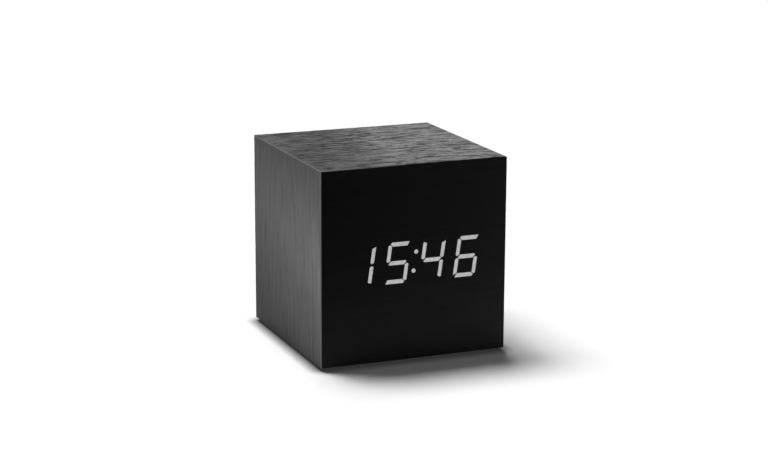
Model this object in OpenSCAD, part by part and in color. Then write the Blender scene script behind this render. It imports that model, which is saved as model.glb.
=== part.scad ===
// Cube alarm clock: veneered box, numerals that shine through the front, keys and cells at the rear.
// Millimetres. X to the right seen from the front, Y to the rear, Z up, the feet stand on Z = 0.
// The case is as large as its fullest row of contents needs, and stays a cube.

/* [Case] */
// Room left inside the case beyond what its contents need
case_spare = 0.4; // [0.2:0.2:20]
// Thickness of the veneer
veneer_t = 0.6; // [0.4:0.1:1]
// Thickness of the four mitred boards
board_t = 5; // [3:0.5:10]
// Radius on the cube's outer edges
edge_r = 0.45; // [0.2:0.05:0.6]
// Diameter of a foot
foot_d = 8; // [4:0.5:14]
// Height of a foot
foot_h = 1; // [0.6:0.2:3]
// Distance of a foot's rim from the sides
foot_edge = 5; // [1:0.5:12]
// Width of a corner block
block_w = 6; // [4.5:0.5:9]
// Length of a corner block beyond its screw
block_end = 5; // [2:0.5:12]

/* [Front] */
// Thickness of the front panel
panel_t = 3; // [2:0.25:6]
// Thickness of panel left in front of a display screw
panel_skin = 0.8; // [0.4:0.1:1.2]
// Margin of the panel's window round the numerals
window_edge = 1.2; // [0.8:0.1:3]
// Thickness of the diffuser film
film_t = 0.3; // [0.2:0.1:0.8]
// Play of the film and the shell's nose in the window
window_play = 0.2; // [0.1:0.05:0.3]

/* [Numerals] */
// Time shown
shown_time = "15:46"; // ["07:30", "12:00", "15:46", "20:58", "23:19"]
// Width of a numeral before it is slanted
digit_w = 8.2; // [6:0.04:12]
// Height of a numeral
digit_h = 14.35; // [11:0.05:20]
// Gap between neighbouring numerals
digit_gap = 4.56; // [3.41:0.05:8.01]
// Height of the numerals above the middle of the front
numeral_rise = 0.4; // [0:0.1:1]
// Slant of the numerals in degrees
slant = 8; // [0:0.5:10]
// Thickness of the level bars
bar_h = 1.4; // [1.3:0.1:2.2]
// Thickness of the upright bars
bar_v = 1.28; // [1.2:0.08:2]
// Gap between neighbouring bars
bar_gap = 0.2; // [0.12:0.02:0.26]
// Cut at the ends of the outer bars
bar_nick = 0.7; // [0.5:0.05:0.9]
// Diameter of a colon dot
dot_d = 1.5; // [1.3:0.05:2.4]
// Distance between the colon dots
dot_spread = 6.55; // [4:0.05:9]
// Play of a dot's plug in its hole
dot_play = 0.02; // [0.01:0.01:0.04]

/* [Display] */
// Width of the reflector shell's flange round the window
shell_edge = 1.3; // [0.8:0.1:4]
// Depth of the reflector shell's flange
shell_t = 4; // [2:0.5:8]
// Gap between the display board and the case
display_gap = 1; // [0.4:0.1:4]
// Thickness of the circuit boards
circuit_t = 1.6; // [0.8:0.2:2.4]
// Length of a light chip
led_l = 1.6; // [1:0.1:2]
// Width of a light chip
led_w = 0.8; // [0.5:0.05:0.85]
// Height of a light chip
led_t = 0.7; // [0.4:0.1:1]
// Shank radius of a display screw
display_screw_r = 0.95; // [0.7:0.05:1.2]
// Distance of the display screws from the window
screw_rise = 4.4; // [2.6:0.2:8]
// Distance of the display screws from the board's edges
screw_edge = 3; // [2.4:0.2:6]

/* [Display parts] */
// Gap between the parts on the display board
part_gap = 2; // [1:0.25:2.5]
// Diameter of the coin cell
coin_d = 20; // [12:0.5:21]
// Thickness of the coin cell
coin_t = 3.2; // [1.6:0.2:5]
// Wall of the coin cell holder
holder_wall = 1.3; // [1:0.1:1.6]
// Floor of the coin cell holder
holder_floor = 0.6; // [0.4:0.1:1]
// Play round the coin cell
coin_play = 0.2; // [0.1:0.05:0.3]
// Diameter of the controller's resin blob
blob_d = 12; // [8:0.5:14]
// Height of the controller's resin blob
blob_h = 1.6; // [1:0.1:2.5]
// Diameter of the filter capacitor
cap_d = 5; // [3:0.5:7]
// Height of the filter capacitor
cap_h = 7; // [4:0.5:12]
// Diameter of the crystal
crystal_d = 2; // [1.5:0.1:3]
// Length of the crystal
crystal_l = 6; // [4:0.5:8]
// Width of a ribbon connector
plug_w = 12; // [8:0.5:16]
// Thickness of a ribbon connector
plug_h = 4.5; // [3.5:0.25:5.5]
// Depth of a ribbon connector
plug_t = 5; // [4:0.25:7]
// Distance of the display connector from the board's edge
plug_edge = 0.75; // [0.5:0.05:2]
// Margin of the ribbon cable in its connectors
ribbon_side = 1; // [0.5:0.1:2]
// Thickness of the ribbon cable
ribbon_t = 0.9; // [0.6:0.1:1.2]

/* [Rear cover] */
// Depth of the cover's face behind the rear rim
rear_recess = 2; // [1.4:0.1:6]
// Thickness of the cover below the door's ledge
ledge_t = 0.5; // [0.3:0.05:1.5]
// Gap between cover and boards
cover_gap = 0.2; // [0.1:0.05:0.4]
// Wall of the cover beyond the hinge sockets
rim_wall = 0.5; // [0.4:0.1:2]
// Shank radius of a rear screw
rear_screw_r = 1; // [0.8:0.05:1.15]
// Length of a rear screw
rear_screw_l = 11; // [8:0.5:20]
// Play of screws in their holes
screw_play = 0.05; // [0.03:0.01:0.08]
// Extra radius of screw holes in boards and covers
hole_play = 0.15; // [0.1:0.05:0.2]
// Radius of the microphone's and sensor's openings
vent_r = 0.6; // [0.3:0.1:1]
// Chamfer on the rear edges of cover, door, keys and inlet
mould_edge = 0.3; // [0.1:0.05:0.4]

/* [Battery bay] */
// Diameter of a cell
cell_d = 10.5; // [9:0.1:15]
// Length of a cell with its nub
cell_l = 44.5; // [30:0.25:55]
// Gap between neighbouring cells
cell_gap = 0.5; // [0.3:0.1:2]
// Radius of a cell's nub
nub_r = 1.9; // [1.4:0.1:2.6]
// Length of a cell's nub
nub_l = 1.2; // [0.8:0.1:2]
// Room for a contact spring behind a cell
spring_room = 4.6; // [4:0.1:8]
// Wall of the bay, which is also the door's ledge
bay_wall = 1.2; // [1:0.1:2.5]
// Gap between the bay and the corner blocks
bay_gap = 0.2; // [0.1:0.05:1]
// Play between cells and the bay's floor
cell_play = 0.3; // [0.2:0.05:0.6]
// Play of the door on its ledge and round its edge
door_play = 0.2; // [0.15:0.05:0.3]
// Thickness of the door
door_t = 1.8; // [1.5:0.1:3]
// Wall of the door round its hinge pins
hinge_wall = 0.3; // [0.2:0.05:0.4]
// Radial play of the hinge pins
hinge_play = 0.05; // [0.03:0.01:0.08]
// Length of a hinge pin
hinge_l = 1.1; // [0.8:0.1:2]
// Width of the door's spring tongue
tongue_w = 12; // [6:0.5:24]
// Length of the door's spring tongue
tongue_l = 8; // [5:0.5:14]
// Width of the slits beside the tongue
slit_w = 0.7; // [0.5:0.1:1]
// Radius of the finger scoop above the door
scoop_r = 3.2; // [2:0.1:3.8]
// Depth of the finger scoop
scoop_t = 1.2; // [0.6:0.1:1.6]
// Height of the ribs between the cells
rib_h = 2; // [1:0.25:2.25]
// Width of the ribs between the cells
rib_w = 1.6; // [1:0.2:2]
// Thickness of the contact plates
plate_t = 0.4; // [0.3:0.05:0.6]
// Gap between neighbouring contact plates
plate_gap = 2; // [1:0.25:3]
// Width of a contact's solder tab
tab_w = 2.4; // [1.6:0.2:3.4]
// Wire of a contact spring
spring_wire = 0.5; // [0.4:0.05:0.6]
// Turns of a contact spring
spring_turns = 3; // [2:1:3]
// Radius of a contact spring at its plate
spring_wide = 3.6; // [2.8:0.1:4]
// Radius of a contact spring at the cell
spring_narrow = 2.4; // [1.8:0.1:2.7]
// Play of contacts against cells and slots
touch_play = 0.1; // [0.05:0.05:0.15]
// Radius of the wires
wire_r = 0.6; // [0.4:0.05:0.7]
// Distance of the wires' ends from the key board's sides
wire_edge = 2.3; // [1.5:0.1:4]
// Distance of the wires' ends from the key board's lower edge
wire_rise = 3.4; // [2:0.2:6]
// Reach of the wires' bends
wire_bow = 8; // [4:0.5:10]

/* [Keys] */
// Gap between neighbouring keys at their collars
key_gap = 1.6; // [0.6:0.1:5]
// Radius of a key
key_r = 2.5; // [1.9:0.1:4]
// Radial play of a key in the cover
key_play = 0.1; // [0.05:0.01:0.1]
// Height of a key above the cover
key_proud = 1.2; // [0.8:0.1:3]
// Travel of a key
key_travel = 0.5; // [0.3:0.05:0.9]
// Width of a key's inner collar beyond the key
collar_w = 0.7; // [0.4:0.05:1.2]
// Thickness of a key's inner collar
collar_t = 0.8; // [0.5:0.1:1.4]
// Play between collar and cover
collar_play = 0.2; // [0.1:0.05:0.4]
// Depth of the dish in a key's face
dish_t = 0.25; // [0.1:0.05:0.4]
// Side of a key switch
switch_w = 6; // [4.5:0.25:9]
// Height of a key switch
switch_h = 3.4; // [2.6:0.1:5]
// Radius of a switch stem
stem_r = 1.75; // [1.2:0.05:2]
// Radial play of a stem in its switch
stem_play = 0.1; // [0.05:0.01:0.1]
// Depth of a stem in its switch
stem_in = 0.8; // [0.5:0.05:1.2]
// Height of a stem above its switch
stem_proud = 1.6; // [1:0.1:3]

/* [Sound switch] */
// Gap between the keys and the controls beside them
control_gap = 1.7; // [1:0.1:5]
// Sheet of the switch's can
slide_wall = 0.5; // [0.3:0.05:0.7]
// Room in the can beyond the knob's travel
slide_room = 1.1; // [0.4:0.1:2]
// Length of the knob's stem
knob_l = 2; // [1.4:0.1:4]
// Width of the knob's stem
knob_w = 1.6; // [1.2:0.1:3]
// Length of the knob's foot beyond its stem
knob_lip = 0.7; // [0.4:0.1:1.4]
// Width of the knob's foot beyond its stem
knob_side = 0.4; // [0.3:0.05:0.8]
// Thickness of the knob's foot
knob_foot_t = 2.2; // [1.4:0.1:2.8]
// Height of the knob above the cover
knob_proud = 1; // [0.6:0.1:3]
// Travel of the knob
knob_travel = 2; // [1:0.1:4]
// Play of the knob
knob_play = 0.15; // [0.1:0.05:0.2]

/* [Power inlet] */
// Radius of the inlet's bore
jack_bore_r = 1.85; // [1.5:0.05:3]
// Wall of the inlet's nose
jack_wall = 1.15; // [0.8:0.05:2]
// Width of the inlet's body beyond its nose
jack_body = 0.7; // [0.4:0.1:2]
// Floor of the inlet below its bore
jack_floor = 1.2; // [0.8:0.1:2]
// Radius of the inlet's pin
jack_pin_r = 0.65; // [0.4:0.05:0.9]
// Distance of the nose behind the cover's face
jack_sink = 0.4; // [0.2:0.1:0.8]
// Distance of the pin's tip behind the nose
pin_sink = 0.6; // [0.4:0.1:1.5]
// Play of the nose in the cover
jack_play = 0.15; // [0.1:0.05:0.25]

/* [Key board] */
// Gap between the key board and the bay, blocks and case
board_gap = 0.4; // [0.2:0.1:2]
// Distance of the parts from the key board's edges
board_edge = 0.3; // [0.2:0.1:2]
// Gap between the key board's two rows of parts
row_gap = 0.2; // [0.2:0.1:2]
// Width of the key board above the controls
board_top = 2.1; // [0.6:0.1:6]
// Radius of a boss
boss_r = 1.9; // [1.5:0.05:2.6]
// Shank radius of a key board screw
board_screw_r = 0.75; // [0.6:0.05:1]
// Length of a key board screw
board_screw_l = 5.5; // [4:0.25:6]
// Diameter of the microphone
mic_d = 4; // [3:0.1:6]
// Height of the microphone
mic_h = 3; // [2:0.1:4]
// Radius of the sensor's bead
bead_r = 1.1; // [0.8:0.05:1.5]
// Height of the sensor's bead above the board
bead_h = 3; // [2:0.1:3.5]
// Radius of thin leads
lead_r = 0.25; // [0.2:0.05:0.3]
// Radius of the buzzer
buzzer_r = 4.5; // [3:0.25:5]
// Height of the buzzer
buzzer_h = 4; // [2.5:0.25:6]
// Gap between the buzzer and the key connector
buzzer_gap = 2.5; // [1:0.25:4]

/* [Hidden] */
// Sides of true circles
round_fn = 48;
dome_fn = 180;
// Panel window and display board, round the numerals
digit_pitch = digit_w + digit_gap;
window_w = 3 * digit_pitch + digit_w + digit_h * tan(slant) + 2 * window_edge;
window_h = digit_h + 2 * (numeral_rise + window_edge);
display_w = window_w + 2 * shell_edge;
display_screw_x = display_w / 2 - screw_edge;
display_screw_z = window_h / 2 + screw_rise;
display_h = 2 * (display_screw_z + screw_edge);
display_bite = panel_t - panel_skin;
// Parts on the display board
coin_x = coin_d / 2 + coin_play + holder_wall + part_gap / 2;
blob_x = -blob_d / 2 - part_gap;
blob_z = -blob_d / 2;
crystal_z = part_gap + crystal_d / 2;
cap_x = blob_x - blob_d / 2 - part_gap - cap_d / 2;
plug_x = -plug_w / 2;
display_plug_z = display_h / 2 - plug_edge - plug_h / 2;
ribbon_w = plug_w - 2 * ribbon_side;
// Battery bay round the cells and cover round the bay
cell_pitch = cell_d + cell_gap;
plate_w = cell_pitch - plate_gap;
bay_l = cell_l + spring_room + touch_play + 2 * plate_t;
bay_h = 3 * cell_pitch;
cover_t = door_t + door_play / 2 + ledge_t;
hinge_r = door_t / 2 - hinge_wall;
block_l = rear_screw_l - cover_t + block_end;
// Controls and the key board that carries them
key_half = max(switch_w / 2, key_r + collar_w);
key_pitch = 2 * key_half + key_gap;
knob_foot_l = knob_l + 2 * knob_lip;
slide_l = knob_foot_l + knob_travel + 2 * (slide_room + slide_wall);
slide_w = knob_w + 2 * (knob_side + knob_play + slide_wall);
slide_h = knob_foot_t + 2 * (knob_play + slide_wall);
slide_x = key_pitch + key_half + control_gap + slide_l / 2;
jack_r = jack_bore_r + jack_wall;
jack_w = 2 * (jack_r + jack_body);
jack_x = -key_pitch - key_half - control_gap - jack_w / 2;
boss_x = key_pitch + key_half + control_gap / 2;
mic_x = key_pitch / 2;
low_row = max(mic_d, 2 * boss_r, 2 * bead_r);
control_row = max(2 * key_half, jack_w, slide_w);
key_board_w = 2 * (max(slide_x + slide_l / 2, jack_w / 2 - jack_x) + board_edge);
key_board_h = board_edge + low_row + row_gap + control_row + board_top;
// Clear inside of the case, from the fullest of its rows
bay_room = bay_l + 2 * (bay_wall + hinge_l + door_play + rim_wall + cover_gap);
stack_room = block_w + bay_gap + bay_h + 2 * bay_wall + key_board_h + 2 * board_gap;
board_room = key_board_w + 2 * (block_w + board_gap);
display_room = max(display_w, display_h) + 2 * display_gap;
inner = (max(bay_room, stack_room, board_room, display_room) + case_spare) / 2;
core = inner + board_t;
half = core + veneer_t;
case_side = 2 * half;
z_mid = foot_h + half;
foot_at = half - foot_edge - foot_d / 2;
// Levels from the front to the rear
y_front = -half;
y_panel = y_front + veneer_t;
y_panel_in = y_panel + panel_t;
y_shell_in = y_panel_in + shell_t;
y_display_in = y_shell_in + circuit_t;
y_cover = half - rear_recess;
y_cover_in = y_cover - cover_t;
y_collar = y_cover_in - collar_play;
y_stem = y_collar - collar_t;
y_switch = y_stem - stem_proud;
y_key_board = y_switch - switch_h;
y_key_board_in = y_key_board - circuit_t;
y_nose = y_cover - jack_sink;
jack_depth = y_nose - y_key_board - jack_floor;
// Battery bay, which stands on the lower corner blocks
y_ledge = y_cover - door_t - door_play / 2;
y_cell = y_ledge - cell_play - cell_d / 2;
y_bay = y_cell - cell_d / 2 - cell_play;
bay_low = -inner + block_w + bay_gap + bay_wall;
bay_top = bay_low + bay_h;
bay_z = bay_low + bay_h / 2;
bay_x = bay_l / 2;
plate_x = bay_x - plate_t;
cell_x = plate_x - touch_play;
spring_l = 2 * plate_x - touch_play - cell_l;
door_w = bay_l + 2 * bay_wall - 2 * door_play;
door_top = bay_top + bay_wall - door_play;
door_low = bay_low - bay_wall + door_play;
hinge_y = y_cover - door_t / 2;
hinge_z = door_low + door_t / 2;
channel_x = (bay_x + bay_wall + inner) / 2;
// Rows of the key board, above the bay
key_low = bay_top + bay_wall + board_gap;
key_high = key_low + key_board_h;
key_mid = key_low + key_board_h / 2;
low_z = key_low + board_edge + low_row / 2;
control_z = low_z + low_row / 2 + row_gap + control_row / 2;
buzzer_x = plug_x + plug_w / 2 + buzzer_gap + buzzer_r;
buzzer_z = key_high - board_edge - buzzer_r;
wire_x = key_board_w / 2 - wire_edge;
wire_z = key_low + wire_rise;
boss_hole_l = board_screw_l - circuit_t + hole_play;
// Screws and blocks
block_mid = inner - block_w / 2;
head_share = 1.9;
head_rise = 1.3;
// Steps of bent and wound forms
wire_steps = 12;
spring_sides = 6;
spring_rings = 8;
// Numerals
hw = digit_w / 2;
hh = digit_h / 2;
xi = hw - bar_v;
zi = hh - bar_h;
mid = bar_h / 2;
BAR_A = [
    [-hw + bar_nick, hh - bar_nick],
    [-hw + bar_nick + 2 * bar_gap, hh],
    [hw - bar_nick, hh],
    [xi, zi],
    [-xi + 2 * bar_gap, zi]
];
BAR_B = [
    [hw, hh - bar_nick - bar_gap],
    [xi, zi - bar_gap],
    [xi, mid + bar_gap],
    [hw - bar_nick, 2 * bar_gap],
    [hw, mid + bar_gap]
];
BAR_F = [
    [-hw, mid],
    [-hw + 4 * bar_nick / 5, 3 * bar_gap / 2],
    [-xi, mid],
    [-xi, zi + bar_gap / 2],
    [-hw + 2 * bar_gap, hh - bar_nick - bar_gap],
    [-hw, hh - bar_nick - 2 * bar_gap]
];
BAR_G = [
    [-xi - 2 * bar_gap, -3 * bar_gap / 2],
    [-xi + 2 * bar_gap, mid],
    [xi, mid],
    [xi + 2 * bar_gap, 3 * bar_gap / 2],
    [xi - 2 * bar_gap, -mid],
    [-xi, -mid]
];
// Bars a to g clockwise from the top, g in the middle
BARS = [BAR_A, BAR_B, -BAR_F, -BAR_A, -BAR_B, BAR_F, BAR_G];
CHIP_AT = [
    [0, hh - mid],
    [hw - bar_v / 2, hh / 2],
    [hw - bar_v / 2, -hh / 2],
    [0, mid - hh],
    [bar_v / 2 - hw, -hh / 2],
    [bar_v / 2 - hw, hh / 2],
    [0, 0]
];
BAR_NAMES = "abcdefg";
NUMERALS = ["abcdef", "bc", "abdeg", "abcdg", "bcfg", "acdfg", "acdefg", "abc", "abcdefg", "abcdfg"];
FIGURES = "0123456789";
SHOWN = [for (i = [0, 1, 3, 4]) search(shown_time[i], FIGURES)[0]];
// Colours
oak = [0.17, 0.17, 0.17];
ink = [0.05, 0.05, 0.05];
fibre = [0.52, 0.40, 0.28];
pine = [0.80, 0.66, 0.46];
rubber = [0.12, 0.12, 0.12];
lamp = [0.80, 0.80, 0.78];
film = [0.90, 0.90, 0.86];
white_abs = [0.88, 0.88, 0.85];
black_abs = [0.08, 0.08, 0.09];
circuit = [0.07, 0.30, 0.16];
steel = [0.62, 0.62, 0.63];
nickel = [0.74, 0.72, 0.68];
cream = [0.86, 0.82, 0.70];
grey = [0.55, 0.56, 0.58];
red = [0.70, 0.10, 0.08];

// Shapes shared by several pieces. Heights in them count from the cube's middle.

module span(a, b) {
    translate(a)
        cube(b - a);
}

module slab(y0, y1) {
    translate([0, y1, 0])
        rotate([90, 0, 0])
            linear_extrude(y1 - y0)
                children();
}

module rod(r, y0, y1, at) {
    translate([at[0], y0, at[1]])
        rotate([-90, 0, 0])
            cylinder(r = r, h = y1 - y0, $fn = round_fn);
}

module cross_rod(r, x0, x1, at) {
    translate([x0, at[0], at[1]])
        rotate([0, 90, 0])
            cylinder(r = r, h = x1 - x0, $fn = round_fn);
}

// A rod with a chamfer round its rear rim
module tipped_rod(r, y0, y1, at) {
    l = y1 - y0;
    translate([at[0], y0, at[1]])
        rotate([-90, 0, 0])
            rotate_extrude($fn = round_fn)
                polygon([[0, 0], [r, 0], [r, l - mould_edge], [r - mould_edge, l], [0, l]]);
}

// A plate with a chamfer round its rear face, as wide at the lower edge as given
module edged_plate(a, b, low) {
    c = mould_edge;
    foot = low > 0 ? [[b[1] - low, a[2]], [b[1], a[2] + low]] : [[b[1], a[2]]];
    intersection() {
        translate([0, 0, a[2]])
            linear_extrude(b[2] - a[2])
                polygon([
                    [a[0], a[1]], [b[0], a[1]], [b[0], b[1] - c],
                    [b[0] - c, b[1]], [a[0] + c, b[1]], [a[0], b[1] - c]
                ]);
        translate([a[0], 0, 0])
            rotate([90, 0, 90])
                linear_extrude(b[0] - a[0])
                    polygon(concat([[a[1], a[2]]], foot, [[b[1], b[2] - c], [b[1] - c, b[2]], [a[1], b[2]]]));
    }
}

module placed(tint) {
    color(tint)
        translate([0, 0, z_mid])
            children();
}

module corners(x, z) {
    for (sx = [-1, 1], sz = [-1, 1])
        translate([sx * x, 0, sz * z])
            children();
}

module rounded_square(side, r) {
    square([side - 2 * r, side], center = true);
    square([side, side - 2 * r], center = true);
    for (x = [-1, 1], y = [-1, 1])
        translate([x, y] * (side / 2 - r))
            circle(r = r, $fn = round_fn);
}

module cube_form() {
    intersection() {
        slab(-half, half)
            rounded_square(case_side, edge_r);
        rotate([0, 0, 90])
            slab(-half, half)
                rounded_square(case_side, edge_r);
        translate([0, 0, -half])
            linear_extrude(case_side)
                rounded_square(case_side, edge_r);
    }
}

module mitred_board(turn) {
    slab(y_panel, half)
        rotate(turn)
            polygon([[-core, core], [core, core], [inner, inner], [-inner, inner]]);
}

// A screw with its head above the origin and its shank below
module screw(r, l) {
    head_r = r * head_share;
    head_h = r * head_rise;
    difference() {
        rotate_extrude($fn = round_fn)
            polygon([
                [0, -l], [r / 3, -l], [r, 2 * r - l], [r, 0], [head_r, 0],
                [head_r, head_h / 2], [head_r * 2 / 3, head_h], [0, head_h]
            ]);
        for (turn = [0, 90])
            rotate(turn)
                translate([0, 0, head_h])
                    cube([head_r, r / 2, head_h], center = true);
    }
}

// Numerals

function on_face(p) = [p[0] + p[1] * tan(slant), p[1] + numeral_rise];
function digit_x(i) = (i - 1.5) * digit_pitch;
function is_lit(i, s) = len(search(BAR_NAMES[s], NUMERALS[SHOWN[i]])) > 0;

module bar(i, s) {
    translate([digit_x(i), 0])
        polygon([for (p = BARS[s]) on_face(p)]);
}

module bars(lit) {
    for (i = [0:3], s = [0:6])
        if (is_lit(i, s) == lit)
            bar(i, s);
}

module dots(r) {
    for (side = [-1, 1])
        translate(on_face([0, side * dot_spread / 2]))
            circle(r = r, $fn = round_fn);
}

module light_holes(y0, y1) {
    slab(y0, y1) {
        bars(true);
        bars(false);
        dots(dot_d / 2);
    }
}

// Round sweep along a list of points

function unit(v) = v / norm(v);
function along(p) = [
    for (i = [0:len(p) - 1]) unit(p[min(i + 1, len(p) - 1)] - p[max(i - 1, 0)])
];
function sides(t, first) = [
    for (i = 0, s = first; i < len(t); s = turned(s, t[min(i + 1, len(t) - 1)]), i = i + 1) s
];
function turned(s, t) = unit(s - (s * t) * t);

module sweep(p, r, n, first) {
    t = along(p);
    s = sides(t, turned(first, t[0]));
    last = len(p) - 1;
    points = [
        for (i = [0:last], k = [0:n - 1])
            p[i] + r * (cos(360 * k / n) * s[i] + sin(360 * k / n) * cross(t[i], s[i]))
    ];
    skin = [
        for (i = [0:last - 1], k = [0:n - 1], half_face = [0, 1])
            half_face == 0
                ? [i * n + k, (i + 1) * n + k, (i + 1) * n + (k + 1) % n]
                : [i * n + k, (i + 1) * n + (k + 1) % n, i * n + (k + 1) % n]
    ];
    start = [for (k = [1:n - 2]) [0, k, k + 1]];
    end = [for (k = [1:n - 2]) [last * n, last * n + k + 1, last * n + k]];
    polyhedron(points, concat(skin, start, end));
}

function bezier(a, b, c, d, n) = [
    for (i = [0:n])
        let (t = i / n, u = 1 - t)
            u * u * u * a + 3 * u * u * t * b + 3 * u * t * t * c + t * t * t * d
];

// Case

module veneer_wrap() {
    placed(oak)
        difference() {
            cube_form();
            span([-core, -case_side, -core], [core, case_side, core]);
            span([-case_side, -case_side, -case_side], [case_side, y_panel, case_side]);
        }
}

module top_board() {
    placed(fibre)
        mitred_board(0);
}

module base_board() {
    placed(fibre)
        mitred_board(180);
}

module left_board() {
    placed(fibre)
        mitred_board(90);
}

module right_board() {
    placed(fibre)
        mitred_board(-90);
}

module front_panel() {
    placed(fibre)
        difference() {
            span([-inner, y_panel, -inner], [inner, y_panel_in, inner]);
            span([-window_w, -case_side, -window_h] / 2, [window_w, 0, window_h] / 2);
            corners(display_screw_x, display_screw_z)
                rod(display_screw_r + screw_play, y_panel_in - display_bite - screw_play, y_panel_in, [0, 0]);
        }
}

module front_veneer() {
    placed(ink)
        difference() {
            cube_form();
            span([-case_side, y_panel, -case_side], [case_side, case_side, case_side]);
            light_holes(y_front - veneer_t, y_panel + veneer_t);
        }
}

module corner_blocks() {
    w = block_w / 2;
    placed(pine)
        corners(block_mid, block_mid)
            difference() {
                span([-w, y_cover_in - block_l, -w], [w, y_cover_in, w]);
                rod(rear_screw_r + screw_play, y_cover - rear_screw_l - screw_play, y_cover, [0, 0]);
            }
}

module rubber_feet() {
    placed(rubber)
        for (x = [-1, 1], y = [-1, 1])
            translate([x * foot_at, y * foot_at, -z_mid])
                rotate_extrude($fn = round_fn)
                    polygon([[0, 0], [foot_d * 7 / 16, 0], [foot_d / 2, foot_h], [0, foot_h]]);
}

// Display

module diffuser_film() {
    w = window_w / 2 - window_play;
    h = window_h / 2 - window_play;
    placed(film)
        span([-w, y_panel, -h], [w, y_panel + film_t, h]);
}

module lit_windows() {
    placed(lamp)
        slab(y_front, y_panel) {
            bars(true);
            dots(dot_d / 2 - dot_play);
        }
}

module unlit_windows() {
    placed(ink)
        slab(y_front, y_panel)
            bars(false);
}

module reflector_shell() {
    w = window_w / 2 - window_play;
    h = window_h / 2 - window_play;
    placed(white_abs)
        difference() {
            union() {
                span([-w, y_panel + film_t, -h], [w, y_shell_in, h]);
                translate([-display_w / 2, y_panel_in, -display_h / 2])
                    cube([display_w, shell_t, display_h]);
            }
            light_holes(y_panel, y_shell_in + film_t);
            corners(display_screw_x, display_screw_z)
                rod(display_screw_r + hole_play, y_panel, y_shell_in + film_t, [0, 0]);
        }
}

module display_board() {
    placed(circuit)
        difference() {
            span([-display_w / 2, y_shell_in, -display_h / 2], [display_w / 2, y_display_in, display_h / 2]);
            corners(display_screw_x, display_screw_z)
                rod(display_screw_r + hole_play, y_panel, y_display_in + circuit_t, [0, 0]);
        }
}

module light_chip(p, l, h) {
    translate([p[0], 0, p[1]])
        span([-l / 2, y_shell_in - led_t, -h / 2], [l / 2, y_shell_in, h / 2]);
}

module light_chips() {
    placed(cream) {
        for (i = [0:3], s = [0:6])
            light_chip(
                on_face(CHIP_AT[s]) + [digit_x(i), 0],
                s % 3 == 0 ? led_l : led_w,
                s % 3 == 0 ? led_w : led_l
            );
        for (side = [-1, 1])
            light_chip(on_face([0, side * dot_spread / 2]), led_w, led_w);
    }
}

module display_screws() {
    placed(steel)
        corners(display_screw_x, display_screw_z)
            translate([0, y_display_in, 0])
                rotate([-90, 0, 0])
                    screw(display_screw_r, circuit_t + shell_t + display_bite);
}

module controller_blob() {
    ball_r = (blob_d * blob_d / 4 + blob_h * blob_h) / (2 * blob_h);
    placed(ink)
        translate([blob_x, y_display_in, blob_z])
            intersection() {
                translate([0, blob_h - ball_r, 0])
                    sphere(r = ball_r, $fn = dome_fn);
                span([-blob_d, 0, -blob_d], [blob_d, blob_d, blob_d]);
            }
}

module crystal() {
    r = crystal_d / 2;
    placed(steel)
        translate([blob_x - crystal_l / 2, y_display_in + r + screw_play, crystal_z]) {
            cross_rod(r, 0, crystal_l, [0, 0]);
            for (side = [-1, 1])
                translate([crystal_l, 0, side * r / 2]) {
                    cross_rod(lead_r, 0, r, [0, 0]);
                    span([r - 2 * lead_r, -r - screw_play, -lead_r], [r, 0, lead_r]);
                }
        }
}

module coin_cell_holder() {
    r = coin_d / 2 + coin_play;
    y_seat = y_display_in + holder_floor;
    y_lip = y_seat + coin_t + coin_play / 4;
    placed(black_abs)
        translate([coin_x, 0, 0]) {
            difference() {
                rod(r + holder_wall, y_display_in, y_lip, [0, 0]);
                rod(r, y_seat, y_lip + coin_t, [0, 0]);
                span([-r / 3, y_seat, 0], [r / 3, y_lip + coin_t, 2 * r]);
            }
            for (turn = [30, 150, 270])
                rotate([0, turn, 0]) {
                    span(
                        [r - holder_wall, y_lip, -holder_wall],
                        [r + holder_wall / 2, y_lip + holder_floor, holder_wall]
                    );
                    span(
                        [r + holder_wall / 4, y_seat, -holder_wall / 2],
                        [r + holder_wall / 2, y_lip + holder_floor / 2, holder_wall / 2]
                    );
                }
        }
}

module coin_cell() {
    r = coin_d / 2;
    step = coin_t / 8;
    placed(steel)
        translate([coin_x, y_display_in + holder_floor, 0])
            rotate([-90, 0, 0])
                rotate_extrude($fn = round_fn)
                    polygon([
                        [0, 0], [r - 3 * step, 0], [r - 3 * step, step], [r, step],
                        [r, coin_t - step], [r - step, coin_t], [0, coin_t]
                    ]);
}

module filter_capacitor() {
    r = cap_d / 2;
    groove = r / 10;
    placed(grey)
        translate([cap_x, y_display_in, 0])
            rotate([-90, 0, 0])
                rotate_extrude($fn = round_fn)
                    polygon([
                        [0, 0], [r, 0], [r, r / 2],
                        [r - groove, r / 2 + groove], [r - groove, r / 2 + 2 * groove],
                        [r, r / 2 + 3 * groove], [r, cap_h - groove], [r - groove, cap_h], [0, cap_h]
                    ]);
}

module display_connector() {
    placed(cream)
        translate([plug_x, y_display_in, display_plug_z])
            plug_housing();
}

module key_connector() {
    placed(cream)
        translate([plug_x, y_key_board_in, key_mid])
            mirror([0, 1, 0])
                plug_housing();
}

module plug_housing() {
    w = plug_w / 2;
    h = plug_h / 2;
    difference() {
        span([-w, 0, -h], [w, plug_t, h]);
        span([-w * 3 / 4, plug_t / 2, h / 2], [w * 3 / 4, plug_t * 2, plug_h]);
    }
}

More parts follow.
